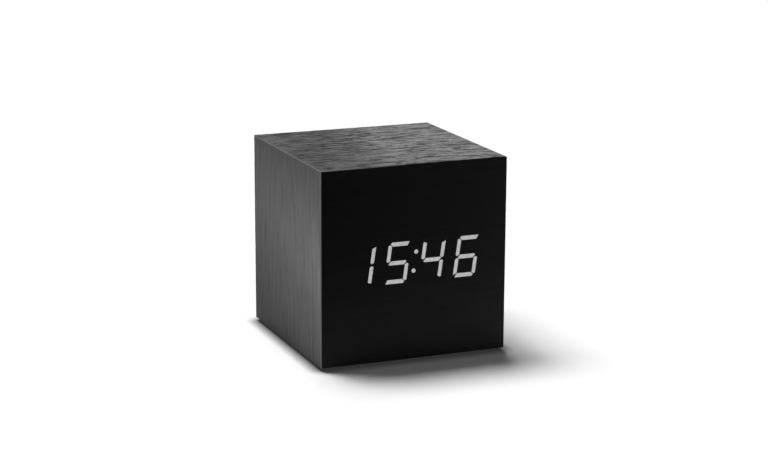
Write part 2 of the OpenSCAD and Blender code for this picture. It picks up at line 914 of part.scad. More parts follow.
module ribbon_cable() {
    a = [y_display_in + plug_t, display_plug_z];
    d = [y_key_board_in - plug_t, key_mid];
    lead = [2 * ribbon_t, 0];
    reach = [(d[0] - a[0]) / 2, 0];
    line = concat([a], bezier(a + lead, a + reach, d - reach, d - lead, 2 * wire_steps), [d]);
    lean = along(line);
    upper = [for (i = [0:len(line) - 1]) line[i] + ribbon_t / 2 * [-lean[i][1], lean[i][0]]];
    lower = [for (i = [len(line) - 1:-1:0]) line[i] - ribbon_t / 2 * [-lean[i][1], lean[i][0]]];
    placed(grey)
        translate([plug_x - ribbon_w / 2, 0, 0])
            rotate([90, 0, 90])
                linear_extrude(ribbon_w)
                    polygon(concat(upper, lower));
}

// Rear cover and battery bay

// Opening in the bay's end wall for a contact's solder tab
module tab_slot(way) {
    translate([way * (bay_x + bay_wall / 2), y_cell, bay_z + way * cell_pitch])
        cube([2 * bay_wall, tab_w + 2 * touch_play, plate_t + 2 * touch_play], center = true);
}

module rear_cover() {
    edge = inner - cover_gap;
    out_x = bay_x + bay_wall;
    knob_slot = knob_l / 2 + knob_travel / 2 + 2 * knob_play;
    placed(black_abs)
        difference() {
            union() {
                edged_plate([-edge, y_cover_in, -edge], [edge, y_cover, edge], mould_edge);
                span(
                    [-out_x, y_bay - bay_wall, bay_low - bay_wall],
                    [out_x, y_cover_in, bay_top + bay_wall]
                );
                for (side = [-1, 1])
                    rod(boss_r, y_key_board, y_cover_in, [side * boss_x, low_z]);
            }
            difference() {
                span([-bay_x, y_bay, bay_low], [bay_x, y_cover + cover_t, bay_top]);
                for (side = [-1, 1])
                    translate([0, 0, bay_z + side * cell_pitch / 2])
                        span([-cell_l / 3, y_bay, -rib_w / 2], [cell_l / 3, y_bay + rib_h, rib_w / 2]);
            }
            span(
                [-out_x, y_ledge, bay_low - bay_wall],
                [out_x, y_cover + cover_t, bay_top + bay_wall]
            );
            cross_rod(
                hinge_r + hinge_play, -door_w / 2 - hinge_l - 2 * door_play,
                door_w / 2 + hinge_l + 2 * door_play, [hinge_y, hinge_z]
            );
            rod(scoop_r, y_cover - scoop_t, y_cover + cover_t, [0, bay_top + bay_wall]);
            for (way = [-1, 1])
                tab_slot(way);
            corners(block_mid, block_mid)
                rod(rear_screw_r + hole_play, y_cover_in - cover_t, y_cover + cover_t, [0, 0]);
            for (i = [-1:1])
                rod(key_r + key_play, y_cover_in - cover_t, y_cover + cover_t, [i * key_pitch, control_z]);
            for (side = [-1, 1]) {
                rod(vent_r, y_cover_in - cover_t, y_cover + cover_t, [side * mic_x, low_z]);
                translate([side * boss_x, y_key_board, low_z])
                    rod(board_screw_r + screw_play, -circuit_t, boss_hole_l, [0, 0]);
            }
            rod(jack_r + jack_play, y_cover_in - cover_t, y_cover + cover_t, [jack_x, control_z]);
            translate([slide_x, 0, control_z])
                span(
                    [-knob_slot, y_cover_in - cover_t, -knob_w / 2 - 2 * knob_play],
                    [knob_slot, y_cover + cover_t, knob_w / 2 + 2 * knob_play]
                );
        }
}

module rear_screws() {
    placed(steel)
        corners(block_mid, block_mid)
            translate([0, y_cover, 0])
                rotate([-90, 0, 0])
                    screw(rear_screw_r, rear_screw_l);
}

// Key board with its parts

module key_board() {
    w = key_board_w / 2;
    placed(circuit)
        difference() {
            span([-w, y_key_board_in, key_low], [w, y_key_board, key_high]);
            for (side = [-1, 1])
                translate([side * boss_x, y_key_board_in, low_z])
                    rod(board_screw_r + hole_play, -circuit_t, 2 * circuit_t, [0, 0]);
        }
}

module key_board_screws() {
    placed(steel)
        for (side = [-1, 1])
            translate([side * boss_x, y_key_board_in, low_z])
                rotate([90, 0, 0])
                    screw(board_screw_r, board_screw_l);
}

module key_switches() {
    w = switch_w / 2;
    bore = stem_in + key_travel + collar_play;
    placed(black_abs)
        for (i = [-1:1])
            translate([i * key_pitch, 0, control_z])
                difference() {
                    span([-w, y_key_board, -w], [w, y_switch, w]);
                    rod(stem_r + stem_play, y_switch - bore, y_switch + stem_in, [0, 0]);
                }
}

module key(i) {
    y_top = y_cover + key_proud;
    dish_r = key_r * 4 / 5;
    ball_r = (dish_r * dish_r + dish_t * dish_t) / (2 * dish_t);
    translate([i * key_pitch, 0, control_z])
        difference() {
            union() {
                tipped_rod(key_r, y_stem, y_top, [0, 0]);
                rod(key_r + collar_w, y_stem, y_collar, [0, 0]);
            }
            translate([0, y_top - dish_t + ball_r, 0])
                sphere(r = ball_r, $fn = round_fn);
        }
}

module stem(i) {
    rod(stem_r, y_switch - stem_in, y_stem, [i * key_pitch, control_z]);
}

module set_key() {
    placed(black_abs)
        key(1);
}

module set_stem() {
    placed(cream)
        stem(1);
}

module up_key() {
    placed(black_abs)
        key(0);
}

module up_stem() {
    placed(cream)
        stem(0);
}

module down_key() {
    placed(black_abs)
        key(-1);
}

module down_stem() {
    placed(cream)
        stem(-1);
}

module sound_switch() {
    l = slide_l / 2;
    w = slide_w / 2;
    slot = knob_l / 2 + knob_travel / 2 + knob_play;
    slot_w = knob_w / 2 + knob_play;
    placed(nickel)
        translate([slide_x, y_key_board, control_z])
            difference() {
                span([-l, 0, -w], [l, slide_h, w]);
                span(
                    [slide_wall - l, slide_wall, slide_wall - w],
                    [l - slide_wall, slide_h - slide_wall, w - slide_wall]
                );
                span([-slot, slide_h / 2, -slot_w], [slot, 2 * slide_h, slot_w]);
            }
}

module sound_knob() {
    foot_l = knob_foot_l / 2;
    foot_w = slide_w / 2 - slide_wall - knob_play;
    y_foot = y_key_board + slide_h - slide_wall - knob_play;
    y_top = y_cover + knob_proud;
    groove = knob_l / 5;
    placed(white_abs)
        translate([slide_x - knob_travel / 2, 0, control_z])
            difference() {
                union() {
                    span([-foot_l, y_foot - knob_foot_t, -foot_w], [foot_l, y_foot, foot_w]);
                    span([-knob_l / 2, y_foot - knob_foot_t, -knob_w / 2], [knob_l / 2, y_top, knob_w / 2]);
                }
                for (side = [-1, 1])
                    translate([side * groove, 0, 0])
                        span([-groove / 2, y_top - groove, -knob_w], [groove / 2, y_top + groove, knob_w]);
            }
}

module power_inlet() {
    w = jack_w / 2;
    placed(black_abs)
        translate([jack_x, 0, control_z])
            difference() {
                union() {
                    span([-w, y_key_board, -w], [w, y_cover_in - collar_play, w]);
                    rod(jack_r, y_key_board, y_nose, [0, 0]);
                }
                rod(jack_bore_r, y_nose - jack_depth, y_cover, [0, 0]);
                translate([0, y_nose - mould_edge, 0])
                    rotate([-90, 0, 0])
                        cylinder(
                            r1 = jack_bore_r, r2 = jack_bore_r + 2 * mould_edge,
                            h = 2 * mould_edge, $fn = round_fn
                        );
            }
}

module inlet_pin() {
    placed(nickel)
        translate([jack_x, y_nose - jack_depth, control_z])
            rotate([-90, 0, 0])
                rotate_extrude($fn = round_fn)
                    polygon([
                        [0, 0], [jack_pin_r, 0], [jack_pin_r, jack_depth - pin_sink - jack_pin_r / 2],
                        [jack_pin_r / 2, jack_depth - pin_sink], [0, jack_depth - pin_sink]
                    ]);
}

module microphone() {
    r = mic_d / 2;
    placed(nickel)
        difference() {
            rod(r, y_key_board, y_key_board + mic_h, [mic_x, low_z]);
            rod(r / 3, y_key_board + mic_h * 4 / 5, y_cover, [mic_x, low_z]);
        }
}

module temperature_sensor() {
    placed(ink)
        translate([-mic_x, y_key_board, low_z]) {
            translate([0, bead_h, 0])
                sphere(r = bead_r, $fn = round_fn);
            for (side = [-1, 1])
                rod(lead_r, 0, bead_h, [side * bead_r / 2, 0]);
        }
}

module buzzer() {
    placed(black_abs)
        difference() {
            rod(buzzer_r, y_key_board_in - buzzer_h, y_key_board_in, [buzzer_x, buzzer_z]);
            translate([buzzer_x, y_key_board_in, buzzer_z])
                rod(buzzer_r / 4, -2 * buzzer_h, -buzzer_h * 3 / 4, [0, 0]);
        }
}

// Cells, contacts and wires

module battery_door() {
    w = door_w / 2;
    tongue_z = door_top - tongue_l;
    groove = door_t / 4;
    placed(black_abs)
        difference() {
            union() {
                edged_plate([-w, y_cover - door_t, hinge_z], [w, y_cover, door_top], 0);
                cross_rod(door_t / 2, -w, w, [hinge_y, hinge_z]);
                cross_rod(hinge_r, -w - hinge_l, w + hinge_l, [hinge_y, hinge_z]);
            }
            for (side = [-1, 1])
                translate([side * tongue_w / 2, 0, 0])
                    span([-slit_w / 2, y_ledge, tongue_z], [slit_w / 2, y_cover + door_t, door_top + door_t]);
            for (i = [1:4])
                translate([0, y_cover, door_top - i * tongue_l / 5])
                    span([-tongue_w / 3, -groove, -groove], [tongue_w / 3, groove, groove]);
        }
}

// A cell along X with its nub toward the way given
module cell(z, way) {
    r = cell_d / 2;
    step = r / 12;
    can = cell_l - nub_l;
    translate([way * (cell_x - cell_l), y_cell, z])
        rotate([0, way * 90, 0])
            rotate_extrude($fn = round_fn)
                polygon([
                    [0, 0], [r * 3 / 4, 0], [r * 3 / 4, step], [r - step, step], [r, 2 * step],
                    [r, can - step], [r - step, can], [r * 3 / 4, can], [r * 3 / 4, can - step],
                    [nub_r, can - step], [nub_r, cell_l], [0, cell_l]
                ]);
}

module upper_cell() {
    placed(grey)
        cell(bay_z + cell_pitch, 1);
}

module middle_cell() {
    placed(grey)
        cell(bay_z, -1);
}

module lower_cell() {
    placed(grey)
        cell(bay_z - cell_pitch, 1);
}

module contact_plate(way, z0, z1) {
    span(
        [way > 0 ? plate_x : -bay_x, y_cell - plate_w / 2, z0 - plate_w / 2],
        [way > 0 ? bay_x : -plate_x, y_cell + plate_w / 2, z1 + plate_w / 2]
    );
}

module solder_tab(way) {
    reach = channel_x + wire_r - plate_x;
    translate([way * (plate_x + reach / 2), y_cell, bay_z + way * cell_pitch])
        cube([reach, tab_w, plate_t], center = true);
}

module contact_plates() {
    placed(nickel) {
        contact_plate(1, bay_z + cell_pitch, bay_z + cell_pitch);
        contact_plate(-1, bay_z, bay_z + cell_pitch);
        contact_plate(1, bay_z - cell_pitch, bay_z);
        contact_plate(-1, bay_z - cell_pitch, bay_z - cell_pitch);
        for (way = [-1, 1])
            solder_tab(way);
    }
}

// Points of a contact spring from its plate to the cell
function spring_line(z, way) = [
    for (i = [0:spring_turns * spring_rings])
        let (
            share = i / (spring_turns * spring_rings),
            r = spring_wide + share * (spring_narrow - spring_wide),
            turn = 360 * i / spring_rings,
            room = spring_l - spring_wire - 2 * touch_play
        )
            [
                way * (plate_x - spring_wire / 2 - touch_play - share * room),
                y_cell + r * cos(turn), z + r * sin(turn)
            ]
];
function least_gap(p) = min([
    for (i = [0:len(p) - 1])
        for (k = [i + spring_rings / 2:1:len(p) - 1])
            norm(p[i] - p[k]) - spring_wire
]);

module contact_spring(z, way) {
    sweep(spring_line(z, way), spring_wire / 2, spring_sides, [1, 0, 0]);
}

module contact_springs() {
    echo("least gap inside a contact spring", least_gap(spring_line(0, 1)));
    placed(steel) {
        contact_spring(bay_z + cell_pitch, -1);
        contact_spring(bay_z, 1);
        contact_spring(bay_z - cell_pitch, -1);
    }
}

// A wire from a solder tab, up beside the bay and round to the front of the key board
module lead_wire(way) {
    start = [way * channel_x, y_cell, bay_z + way * cell_pitch + plate_t / 2];
    bend = [way * channel_x, y_cell, bay_top + bay_wall];
    end = [way * wire_x, y_key_board_in, wire_z];
    rise = [0, 0, wire_bow / 2];
    bow = [0, wire_bow, 0];
    lead = [0, wire_r, 0];
    sweep(
        concat([start], bezier(bend, bend + rise, end - bow, end - lead, wire_steps), [end]),
        wire_r, spring_rings, [1, 0, 0]
    );
}

module positive_wire() {
    placed(red)
        lead_wire(1);
}

module negative_wire() {
    placed(ink)
        lead_wire(-1);
}

veneer_wrap();
top_board();
base_board();
left_board();
right_board();
front_panel();
front_veneer();
corner_blocks();
rubber_feet();
diffuser_film();
lit_windows();
unlit_windows();
reflector_shell();
display_board();
light_chips();
display_screws();
controller_blob();
crystal();
coin_cell_holder();
coin_cell();
filter_capacitor();
display_connector();
ribbon_cable();
rear_cover();
rear_screws();
key_board();
key_board_screws();
key_switches();
set_key();
set_stem();
up_key();
up_stem();
down_key();
down_stem();
sound_switch();
sound_knob();
power_inlet();
inlet_pin();
microphone();
temperature_sensor();
buzzer();
key_connector();
battery_door();
upper_cell();
middle_cell();
lower_cell();
contact_plates();
contact_springs();
positive_wire();
negative_wire();
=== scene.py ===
import math

import bpy
from mathutils import Matrix, Vector


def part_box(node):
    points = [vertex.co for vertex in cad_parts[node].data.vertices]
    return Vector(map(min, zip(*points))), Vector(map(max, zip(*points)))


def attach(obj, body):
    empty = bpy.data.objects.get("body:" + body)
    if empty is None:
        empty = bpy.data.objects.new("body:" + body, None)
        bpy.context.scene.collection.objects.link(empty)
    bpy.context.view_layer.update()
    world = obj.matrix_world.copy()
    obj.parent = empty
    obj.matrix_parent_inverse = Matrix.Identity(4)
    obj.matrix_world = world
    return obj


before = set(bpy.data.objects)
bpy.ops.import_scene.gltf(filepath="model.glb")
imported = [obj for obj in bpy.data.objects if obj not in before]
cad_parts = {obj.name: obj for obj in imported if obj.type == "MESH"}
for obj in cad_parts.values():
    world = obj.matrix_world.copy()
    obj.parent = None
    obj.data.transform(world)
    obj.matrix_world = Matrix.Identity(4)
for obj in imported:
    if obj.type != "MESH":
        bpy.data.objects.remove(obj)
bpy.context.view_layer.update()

# Camera: a long lens, to the front left of the clock and a little above it.
# Its place was fitted to the cube's edges in the photograph, and everything is in focus.
scene = bpy.context.scene
scene.view_settings.view_transform = "Standard"
case_low, case_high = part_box("veneer_wrap")
case_middle = Vector((0, 0, (case_low.z + case_high.z) / 2))
camera_azimuth = math.radians(-22.397)
camera_height_angle = math.radians(13.755)
camera_roll = math.radians(0.251)
camera_distance = 0.70972
camera_offset = (0.00247, 0.00254)
camera_back = Vector((
    math.sin(camera_azimuth) * math.cos(camera_height_angle),
    -math.cos(camera_azimuth) * math.cos(camera_height_angle),
    math.sin(camera_height_angle),
))
level_right = Vector((math.cos(camera_azimuth), math.sin(camera_azimuth), 0))
level_up = camera_back.cross(level_right)
camera_right = math.cos(camera_roll) * level_right + math.sin(camera_roll) * level_up
camera_up = math.cos(camera_roll) * level_up - math.sin(camera_roll) * level_right
camera_data = bpy.data.cameras.new("camera")
camera_data.lens = 94.08
camera_data.sensor_width = 36
camera_data.sensor_fit = "HORIZONTAL"
camera = bpy.data.objects.new("camera", camera_data)
scene.collection.objects.link(camera)
turn = Matrix((camera_right, camera_up, camera_back)).transposed().to_4x4()
camera_place = (
    case_middle
    + camera_offset[0] * camera_right
    + camera_offset[1] * camera_up
    + camera_distance * camera_back
)
camera.matrix_world = Matrix.Translation(camera_place) @ turn
scene.camera = camera


# Studio: a white paper floor in a white room, under two soft lamps overhead, behind and behind to the left.
# The floor keeps the clock's shadow; what the room shows to the lens and in gloss is plain white.
def srgb(code):
    """A hex colour as linear red, green, blue and one."""
    parts = [int(code[i:i + 2], 16) / 255 for i in (1, 3, 5)]
    return [c / 12.92 if c <= 0.04045 else ((c + 0.055) / 1.055) ** 2.4 for c in parts] + [1]


def add(tree, kind, inputs=None, **settings):
    """Adds a shader node with its settings, and fills its inputs or links them to sockets or nodes."""
    made = tree.nodes.new("ShaderNode" + kind)
    for name, value in settings.items():
        setattr(made, name, value)
    for key, value in (inputs or {}).items():
        if isinstance(value, bpy.types.Node):
            value = value.outputs[0]
        if isinstance(value, bpy.types.NodeSocket):
            tree.links.new(value, made.inputs[key])
        else:
            made.inputs[key].default_value = value
    return made


room_ambient = 0.07
lamp_strength = 1.68
lamp_spread = math.radians(21)
floor_size = 60
floor_glow = 0.03
contact_reach = 0.0048
contact_depth = 2.6

room = bpy.data.worlds.new("white_room")
room.use_nodes = True
tree = room.node_tree
tree.nodes.clear()
path = add(tree, "LightPath")
seen = add(tree, "Math", {
    0: path.outputs["Is Camera Ray"], 1: path.outputs["Is Glossy Ray"],
}, operation="MAXIMUM")
seen = add(tree, "Math", {0: seen, 1: path.outputs["Is Transmission Ray"]}, operation="MAXIMUM")
level = add(tree, "MapRange", {"Value": seen, "To Min": room_ambient, "To Max": 1.0})
glow = add(tree, "Background", {"Color": srgb("#FFFFFF"), "Strength": level})
add(tree, "OutputWorld", {"Surface": glow})
scene.world = room

for lamp_name, lamp_from in (("rear_lamp", (-0.04, 0.36, 1)), ("left_lamp", (-0.28, 0.36, 1))):
    lamp_data = bpy.data.lights.new(lamp_name, "SUN")
    lamp_data.energy = lamp_strength
    lamp_data.angle = lamp_spread
    lamp = bpy.data.objects.new(lamp_name, lamp_data)
    scene.collection.objects.link(lamp)
    lamp.rotation_euler = Vector(lamp_from).to_track_quat("Z", "Y").to_euler()

bpy.ops.object.select_all(action="DESELECT")
bpy.ops.mesh.primitive_plane_add(size=floor_size, location=(0, 0, 0))
floor = bpy.context.object
floor.name = "floor"
paper = bpy.data.materials.new("white_paper_floor")
paper.use_nodes = True
tree = paper.node_tree
tree.nodes.clear()
path = add(tree, "LightPath")
# Painted contact shadow: ambient occlusion darkens the paper's colour where the case meets it
line = add(tree, "AmbientOcclusion", {"Distance": contact_reach}, samples=8)
line = add(tree, "Math", {0: line.outputs["AO"], 1: contact_depth}, operation="POWER")
white = add(tree, "Mix", {"Factor": line, 6: srgb("#000000"), 7: srgb("#F7F7F7")}, data_type="RGBA")
matt = add(tree, "BsdfDiffuse", {"Color": white.outputs[2]})
lift = add(tree, "Math", {0: path.outputs["Is Camera Ray"], 1: floor_glow}, operation="MULTIPLY")
shine = add(tree, "Emission", {"Color": srgb("#FFFFFF"), "Strength": lift})
both = add(tree, "AddShader", {0: matt, 1: shine})
add(tree, "OutputMaterial", {"Surface": both})
floor.data.materials.append(paper)


# Case boards: four mitred boards and the front panel, of medium-density fibreboard, sawn and glued up raw.
# Only their rear edges and the rim of the opening show, sealed with thin black paint over the fibres.
def start(name):
    """A new material, its empty node tree, and the place on the piece in millimetres."""
    made = bpy.data.materials.new(name)
    made.use_nodes = True
    made.node_tree.nodes.clear()
    coords = add(made.node_tree, "TexCoord")
    mm = add(made.node_tree, "VectorMath", {0: coords.outputs["Object"], "Scale": 1000}, operation="SCALE")
    return made, made.node_tree, mm


def dress(material, surface, *names):
    """Puts the surface on its material, and the material on CAD nodes."""
    add(material.node_tree, "OutputMaterial", {"Surface": surface})
    for name in names:
        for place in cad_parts[name].material_slots:
            place.material = material


case_half_mm = (case_high.x - case_low.x) * 500
case_middle_mm = case_middle.z * 1000
case_rear_mm = case_high.y * 1000
paint_reach_mm = 4.1
paint_fade_mm = 0.4

fibreboard, tree, mm = start("black_edged_fibreboard")
axes = add(tree, "SeparateXYZ", {0: mm})
# Wood fibres of about 0.1 mm, drawn at 0.8 mm so that they show
fibres = add(tree, "TexNoise", {"Vector": mm, "Scale": 1 / 0.8, "Detail": 4, "Roughness": 0.65})
clouds = add(tree, "TexNoise", {"Vector": mm, "Scale": 1 / 14, "Detail": 2})
raw = add(tree, "Mix", {"Factor": fibres, 6: srgb("#7C5F40"), 7: srgb("#B8956A")}, data_type="RGBA")
paint_tone = add(tree, "Math", {0: fibres, 1: clouds}, operation="MULTIPLY")
paint = add(tree, "Mix", {"Factor": paint_tone, 6: srgb("#141414"), 7: srgb("#3C3A38")}, data_type="RGBA")
painted = add(tree, "MapRange", {
    "Value": axes.outputs["Y"],
    "From Min": case_rear_mm - paint_reach_mm - paint_fade_mm, "From Max": case_rear_mm - paint_reach_mm,
})
colour = add(tree, "Mix", {"Factor": painted, 6: raw.outputs[2], 7: paint.outputs[2]}, data_type="RGBA")
rough = add(tree, "MapRange", {"Value": fibres, "To Min": 0.6, "To Max": 0.9})
bump = add(tree, "Bump", {"Strength": 0.5, "Distance": 0.00012, "Height": fibres})
surface = add(tree, "BsdfPrincipled", {
    "Base Color": colour.outputs[2], "Roughness": rough, "Normal": bump,
    "IOR": 1.5, "Specular IOR Level": 0.35,
})
dress(fibreboard, surface, "top_board", "base_board", "left_board", "right_board", "front_panel")


# Veneer wrap: one strip of black-stained oak round left, top, right and base, glued on and lacquered.
# Its grain runs along the strip, and its pores stay open under the satin lacquer.
trough_width_mm = 1.4
pore_width_mm = 0.4
ring_gap_mm = 3.6
ring_drift_mm = 2.4
arch_stretch = 6
heart_place_mm = (-112, 2, 0)
painted_shade_marks = (
    (0.12, 0.54), (0.2, 0.78), (0.28, 0.53), (0.36, 0.18), (0.45, 0.36), (0.52, 0.97), (0.75, 0.95),
)
stained_oak, tree, mm = start("black_stained_oak_veneer")
axes = add(tree, "SeparateXYZ", {0: mm})
height = add(tree, "Math", {0: axes.outputs["Z"], 1: case_middle_mm}, operation="SUBTRACT")
off_x = add(tree, "Math", {0: axes.outputs["X"]}, operation="ABSOLUTE")
off_z = add(tree, "Math", {0: height}, operation="ABSOLUTE")
on_level = add(tree, "Math", {0: off_z, 1: off_x}, operation="GREATER_THAN")
side = add(tree, "Math", {0: axes.outputs["X"]}, operation="SIGN")
down = add(tree, "Math", {0: 2 * case_half_mm, 1: height}, operation="SUBTRACT")
along_side = add(tree, "Math", {0: side, 1: down}, operation="MULTIPLY")
along = add(tree, "Mix", {"Factor": on_level, 2: along_side, 3: axes.outputs["X"]}, data_type="FLOAT")
strip = add(tree, "CombineXYZ", {0: along, 1: axes.outputs["Y"], 2: off_z})
# Slow sway of the fibres, up to 1 mm over 26 mm, and their ragged edge, under half a millimetre
sway_place = add(tree, "VectorMath", {0: strip, 1: (1 / 26, 1 / 11, 0)}, operation="MULTIPLY")
sway = add(tree, "TexNoise", {"Vector": sway_place, "Scale": 1, "Detail": 2})
shift = add(tree, "MapRange", {"Value": sway, "To Min": -1.0, "To Max": 1.0})
ragged_place = add(tree, "VectorMath", {0: strip, 1: (1 / 2.6, 1 / 1.6, 0)}, operation="MULTIPLY")
ragged = add(tree, "TexNoise", {"Vector": ragged_place, "Scale": 1, "Detail": 1})
jitter = add(tree, "MapRange", {"Value": ragged, "To Min": -0.4, "To Max": 0.4})
swayed = add(tree, "Math", {0: axes.outputs["Y"], 1: shift}, operation="ADD")
across = add(tree, "Math", {0: swayed, 1: jitter}, operation="ADD")
fibre = add(tree, "CombineXYZ", {0: along, 1: across})
# Open troughs of early wood, about 0.3 mm wide: long lines, and short dashes between them
# Both are drawn 1.4 mm wide, so that they show at the camera's distance
trough_layers = []
for trough_length_mm, trough_start in ((18, 0), (7, 71)):
    trough_place = add(tree, "VectorMath", {
        0: fibre, 1: (1 / trough_length_mm, 1 / trough_width_mm, 0), 2: (trough_start, trough_start, 0),
    }, operation="MULTIPLY_ADD")
    trough_lines = add(tree, "TexNoise", {
        "Vector": trough_place, "Scale": 1, "Detail": 3, "Roughness": 0.7,
    }, noise_dimensions="2D")
    trough_layers.append(add(tree, "MapRange", {
        "Value": trough_lines, "From Min": 0.555, "From Max": 0.605,
    }, interpolation_type="SMOOTHSTEP"))
trough = add(tree, "Math", {0: trough_layers[0], 1: trough_layers[1]}, operation="MAXIMUM")
# Single pores, drawn 0.4 mm wide: they fill the troughs in bundles, and lie scattered between them
pore_place = add(tree, "VectorMath", {
    0: fibre, 1: (1 / 6, 1 / pore_width_mm, 0), 2: (17, 5, 0),
}, operation="MULTIPLY_ADD")
pore_lines = add(tree, "TexNoise", {
    "Vector": pore_place, "Scale": 1, "Detail": 3, "Roughness": 0.6,
}, noise_dimensions="2D")
pore = add(tree, "MapRange", {
    "Value": pore_lines, "From Min": 0.42, "From Max": 0.6,
}, interpolation_type="SMOOTHSTEP")
bundle = add(tree, "MapRange", {"Value": pore, "To Min": 0.65, "To Max": 1.0})
trough = add(tree, "Math", {0: trough, 1: bundle}, operation="MULTIPLY")
# Figure of the log: where early wood lies open and where the face is closed
figure_place = add(tree, "VectorMath", {0: fibre, 1: (1 / 40, 1 / 12, 0)}, operation="MULTIPLY")
figure = add(tree, "TexNoise", {"Vector": figure_place, "Scale": 1, "Detail": 2})
open_face = add(tree, "MapRange", {
    "Value": figure, "From Min": 0.32, "From Max": 0.58, "To Min": 0.62, "To Max": 1.0,
})
# Year rings about 3.6 mm apart rise in arches up the sides; they are uneven, and fade here and there
heart = add(tree, "VectorMath", {0: fibre, 1: heart_place_mm}, operation="SUBTRACT")
arch = add(tree, "VectorMath", {0: heart, 1: (1 / arch_stretch, 1, 0)}, operation="MULTIPLY")
arch = add(tree, "VectorMath", {0: arch}, operation="LENGTH")
arch = add(tree, "Math", {0: figure, 1: ring_drift_mm, 2: arch.outputs["Value"]}, operation="MULTIPLY_ADD")
ring = add(tree, "Math", {0: arch, 1: 2 * math.pi / ring_gap_mm}, operation="MULTIPLY")
ring = add(tree, "Math", {0: ring}, operation="SINE")
ring_share = add(tree, "MapRange", {
    "Value": sway, "From Min": 0.35, "From Max": 0.6, "To Min": 0.1, "To Max": 1.0,
})
ring = add(tree, "Math", {0: ring, 1: ring_share}, operation="MULTIPLY")
# The sides were cut from closed wood, with a few open pores along the early side of each ring
early = add(tree, "MapRange", {
    "Value": ring, "From Min": -0.6, "From Max": 0.9, "To Min": 0.05, "To Max": 0.24,
})
face_share = add(tree, "Mix", {"Factor": on_level, 2: early, 3: 1.0}, data_type="FLOAT")
# No pore opens on the rounded rear edge
before_edge = add(tree, "MapRange", {
    "Value": axes.outputs["Y"], "From Min": case_rear_mm - 0.6, "From Max": case_rear_mm - 0.9,
})
face_share = add(tree, "Math", {0: face_share, 1: before_edge}, operation="MULTIPLY")
depth = add(tree, "Math", {0: open_face, 1: face_share}, operation="MULTIPLY")
cut = add(tree, "Math", {0: trough, 1: depth}, operation="MULTIPLY")
fine_cut = add(tree, "Math", {0: pore, 1: depth}, operation="MULTIPLY")
relief = add(tree, "Math", {0: fine_cut, 1: 0.2, 2: cut}, operation="MULTIPLY_ADD")
# Soft patches of the stain, 5 mm wide, a little deeper along the early side of each ring
streak_place = add(tree, "VectorMath", {0: fibre, 1: (1 / 18, 1 / 5, 0)}, operation="MULTIPLY")
streak = add(tree, "TexNoise", {"Vector": streak_place, "Scale": 1, "Detail": 4})
mixed = add(tree, "Math", {0: ring, 1: -0.1, 2: streak}, operation="MULTIPLY_ADD")
stain = add(tree, "Mix", {"Factor": mixed, 6: srgb("#6E6E6E"), 7: srgb("#909090")}, data_type="RGBA")
# Painted shade and light along the strip: darker toward its ends and over the left arris, lighter over the
# top's right half
slanted = add(tree, "Math", {0: axes.outputs["Y"], 1: -0.15, 2: along}, operation="MULTIPLY_ADD")
shade_place = add(tree, "MapRange", {
    "Value": slanted, "From Min": -3 * case_half_mm, "From Max": 3 * case_half_mm,
})
tone = add(tree, "ValToRGB", {"Fac": shade_place})
tone.color_ramp.interpolation = "B_SPLINE"
for place, shade in painted_shade_marks:
    mark = tone.color_ramp.elements.new(place)
    mark.color = (shade, shade, shade, 1)
tone.color_ramp.elements[0].color = (0.12, 0.12, 0.12, 1)
tone.color_ramp.elements[-1].color = (0.7, 0.7, 0.7, 1)
shaded_stain = add(tree, "VectorMath", {0: stain.outputs[2], 1: tone}, operation="MULTIPLY")
# Painted shade on the sides: darker toward the rear, darkening fastest near the front
rearward = add(tree, "MapRange", {
    "Value": axes.outputs["Y"], "From Min": -case_rear_mm, "From Max": case_rear_mm,
})
rearward = add(tree, "Math", {0: rearward, 1: 0.6}, operation="POWER")
rearward = add(tree, "MapRange", {"Value": rearward, "To Min": 1.2, "To Max": 0.555})
painted_side_shade = add(tree, "Mix", {"Factor": on_level, 2: rearward, 3: 1.0}, data_type="FLOAT")
shaded_stain = add(tree, "VectorMath", {0: shaded_stain, "Scale": painted_side_shade}, operation="SCALE")
dark = add(tree, "Mix", {"Factor": relief, 6: shaded_stain, 7: srgb("#080808")}, data_type="RGBA")
# Painted highlight along the arrises, brightest on the left one
arris = add(tree, "Math", {0: off_x, 1: off_z}, operation="MINIMUM")
highlight_band = add(tree, "MapRange", {
    "Value": arris, "From Min": case_half_mm - 0.36, "From Max": case_half_mm - 0.2,
}, interpolation_type="SMOOTHSTEP")
wear_and_highlight = add(tree, "MapRange", {"Value": side, "From Min": -1.0, "To Min": 0.8, "To Max": 0.25})
wear_and_highlight = add(tree, "Math", {0: wear_and_highlight, 1: ragged}, operation="MULTIPLY")
arris_highlight = add(tree, "Math", {0: highlight_band, 1: wear_and_highlight}, operation="MULTIPLY")
colour = add(tree, "Mix", {"Factor": arris_highlight, 6: dark.outputs[2], 7: srgb("#8E8E8E")}, data_type="RGBA")
rough = add(tree, "MapRange", {"Value": relief, "To Min": 0.5, "To Max": 0.8})
low = add(tree, "Math", {0: relief, 1: -1.0}, operation="MULTIPLY")
bump = add(tree, "Bump", {"Strength": 1.0, "Distance": 0.0003, "Height": low})
surface = add(tree, "BsdfPrincipled", {
    "Base Color": colour.outputs[2], "Roughness": rough, "Normal": bump,
    "IOR": 1.5, "Specular IOR Level": 0.09,
})
dress(stained_oak, surface, "veneer_wrap")


# Front veneer: a thin black-dyed sheet glued over the panel, with the light windows cut in it.
# Its grain lies level. The unlit windows are the same sheet, so they don't show.
black_front, tree, mm = start("black_dyed_front_veneer")
axes = add(tree, "SeparateXYZ", {0: mm})
grain_place = add(tree, "VectorMath", {0: mm, 1: (1 / 34, 1 / 10, 1 / 0.9)}, operation="MULTIPLY")
grain = add(tree, "TexNoise", {"Vector": grain_place, "Scale": 1, "Detail": 3})
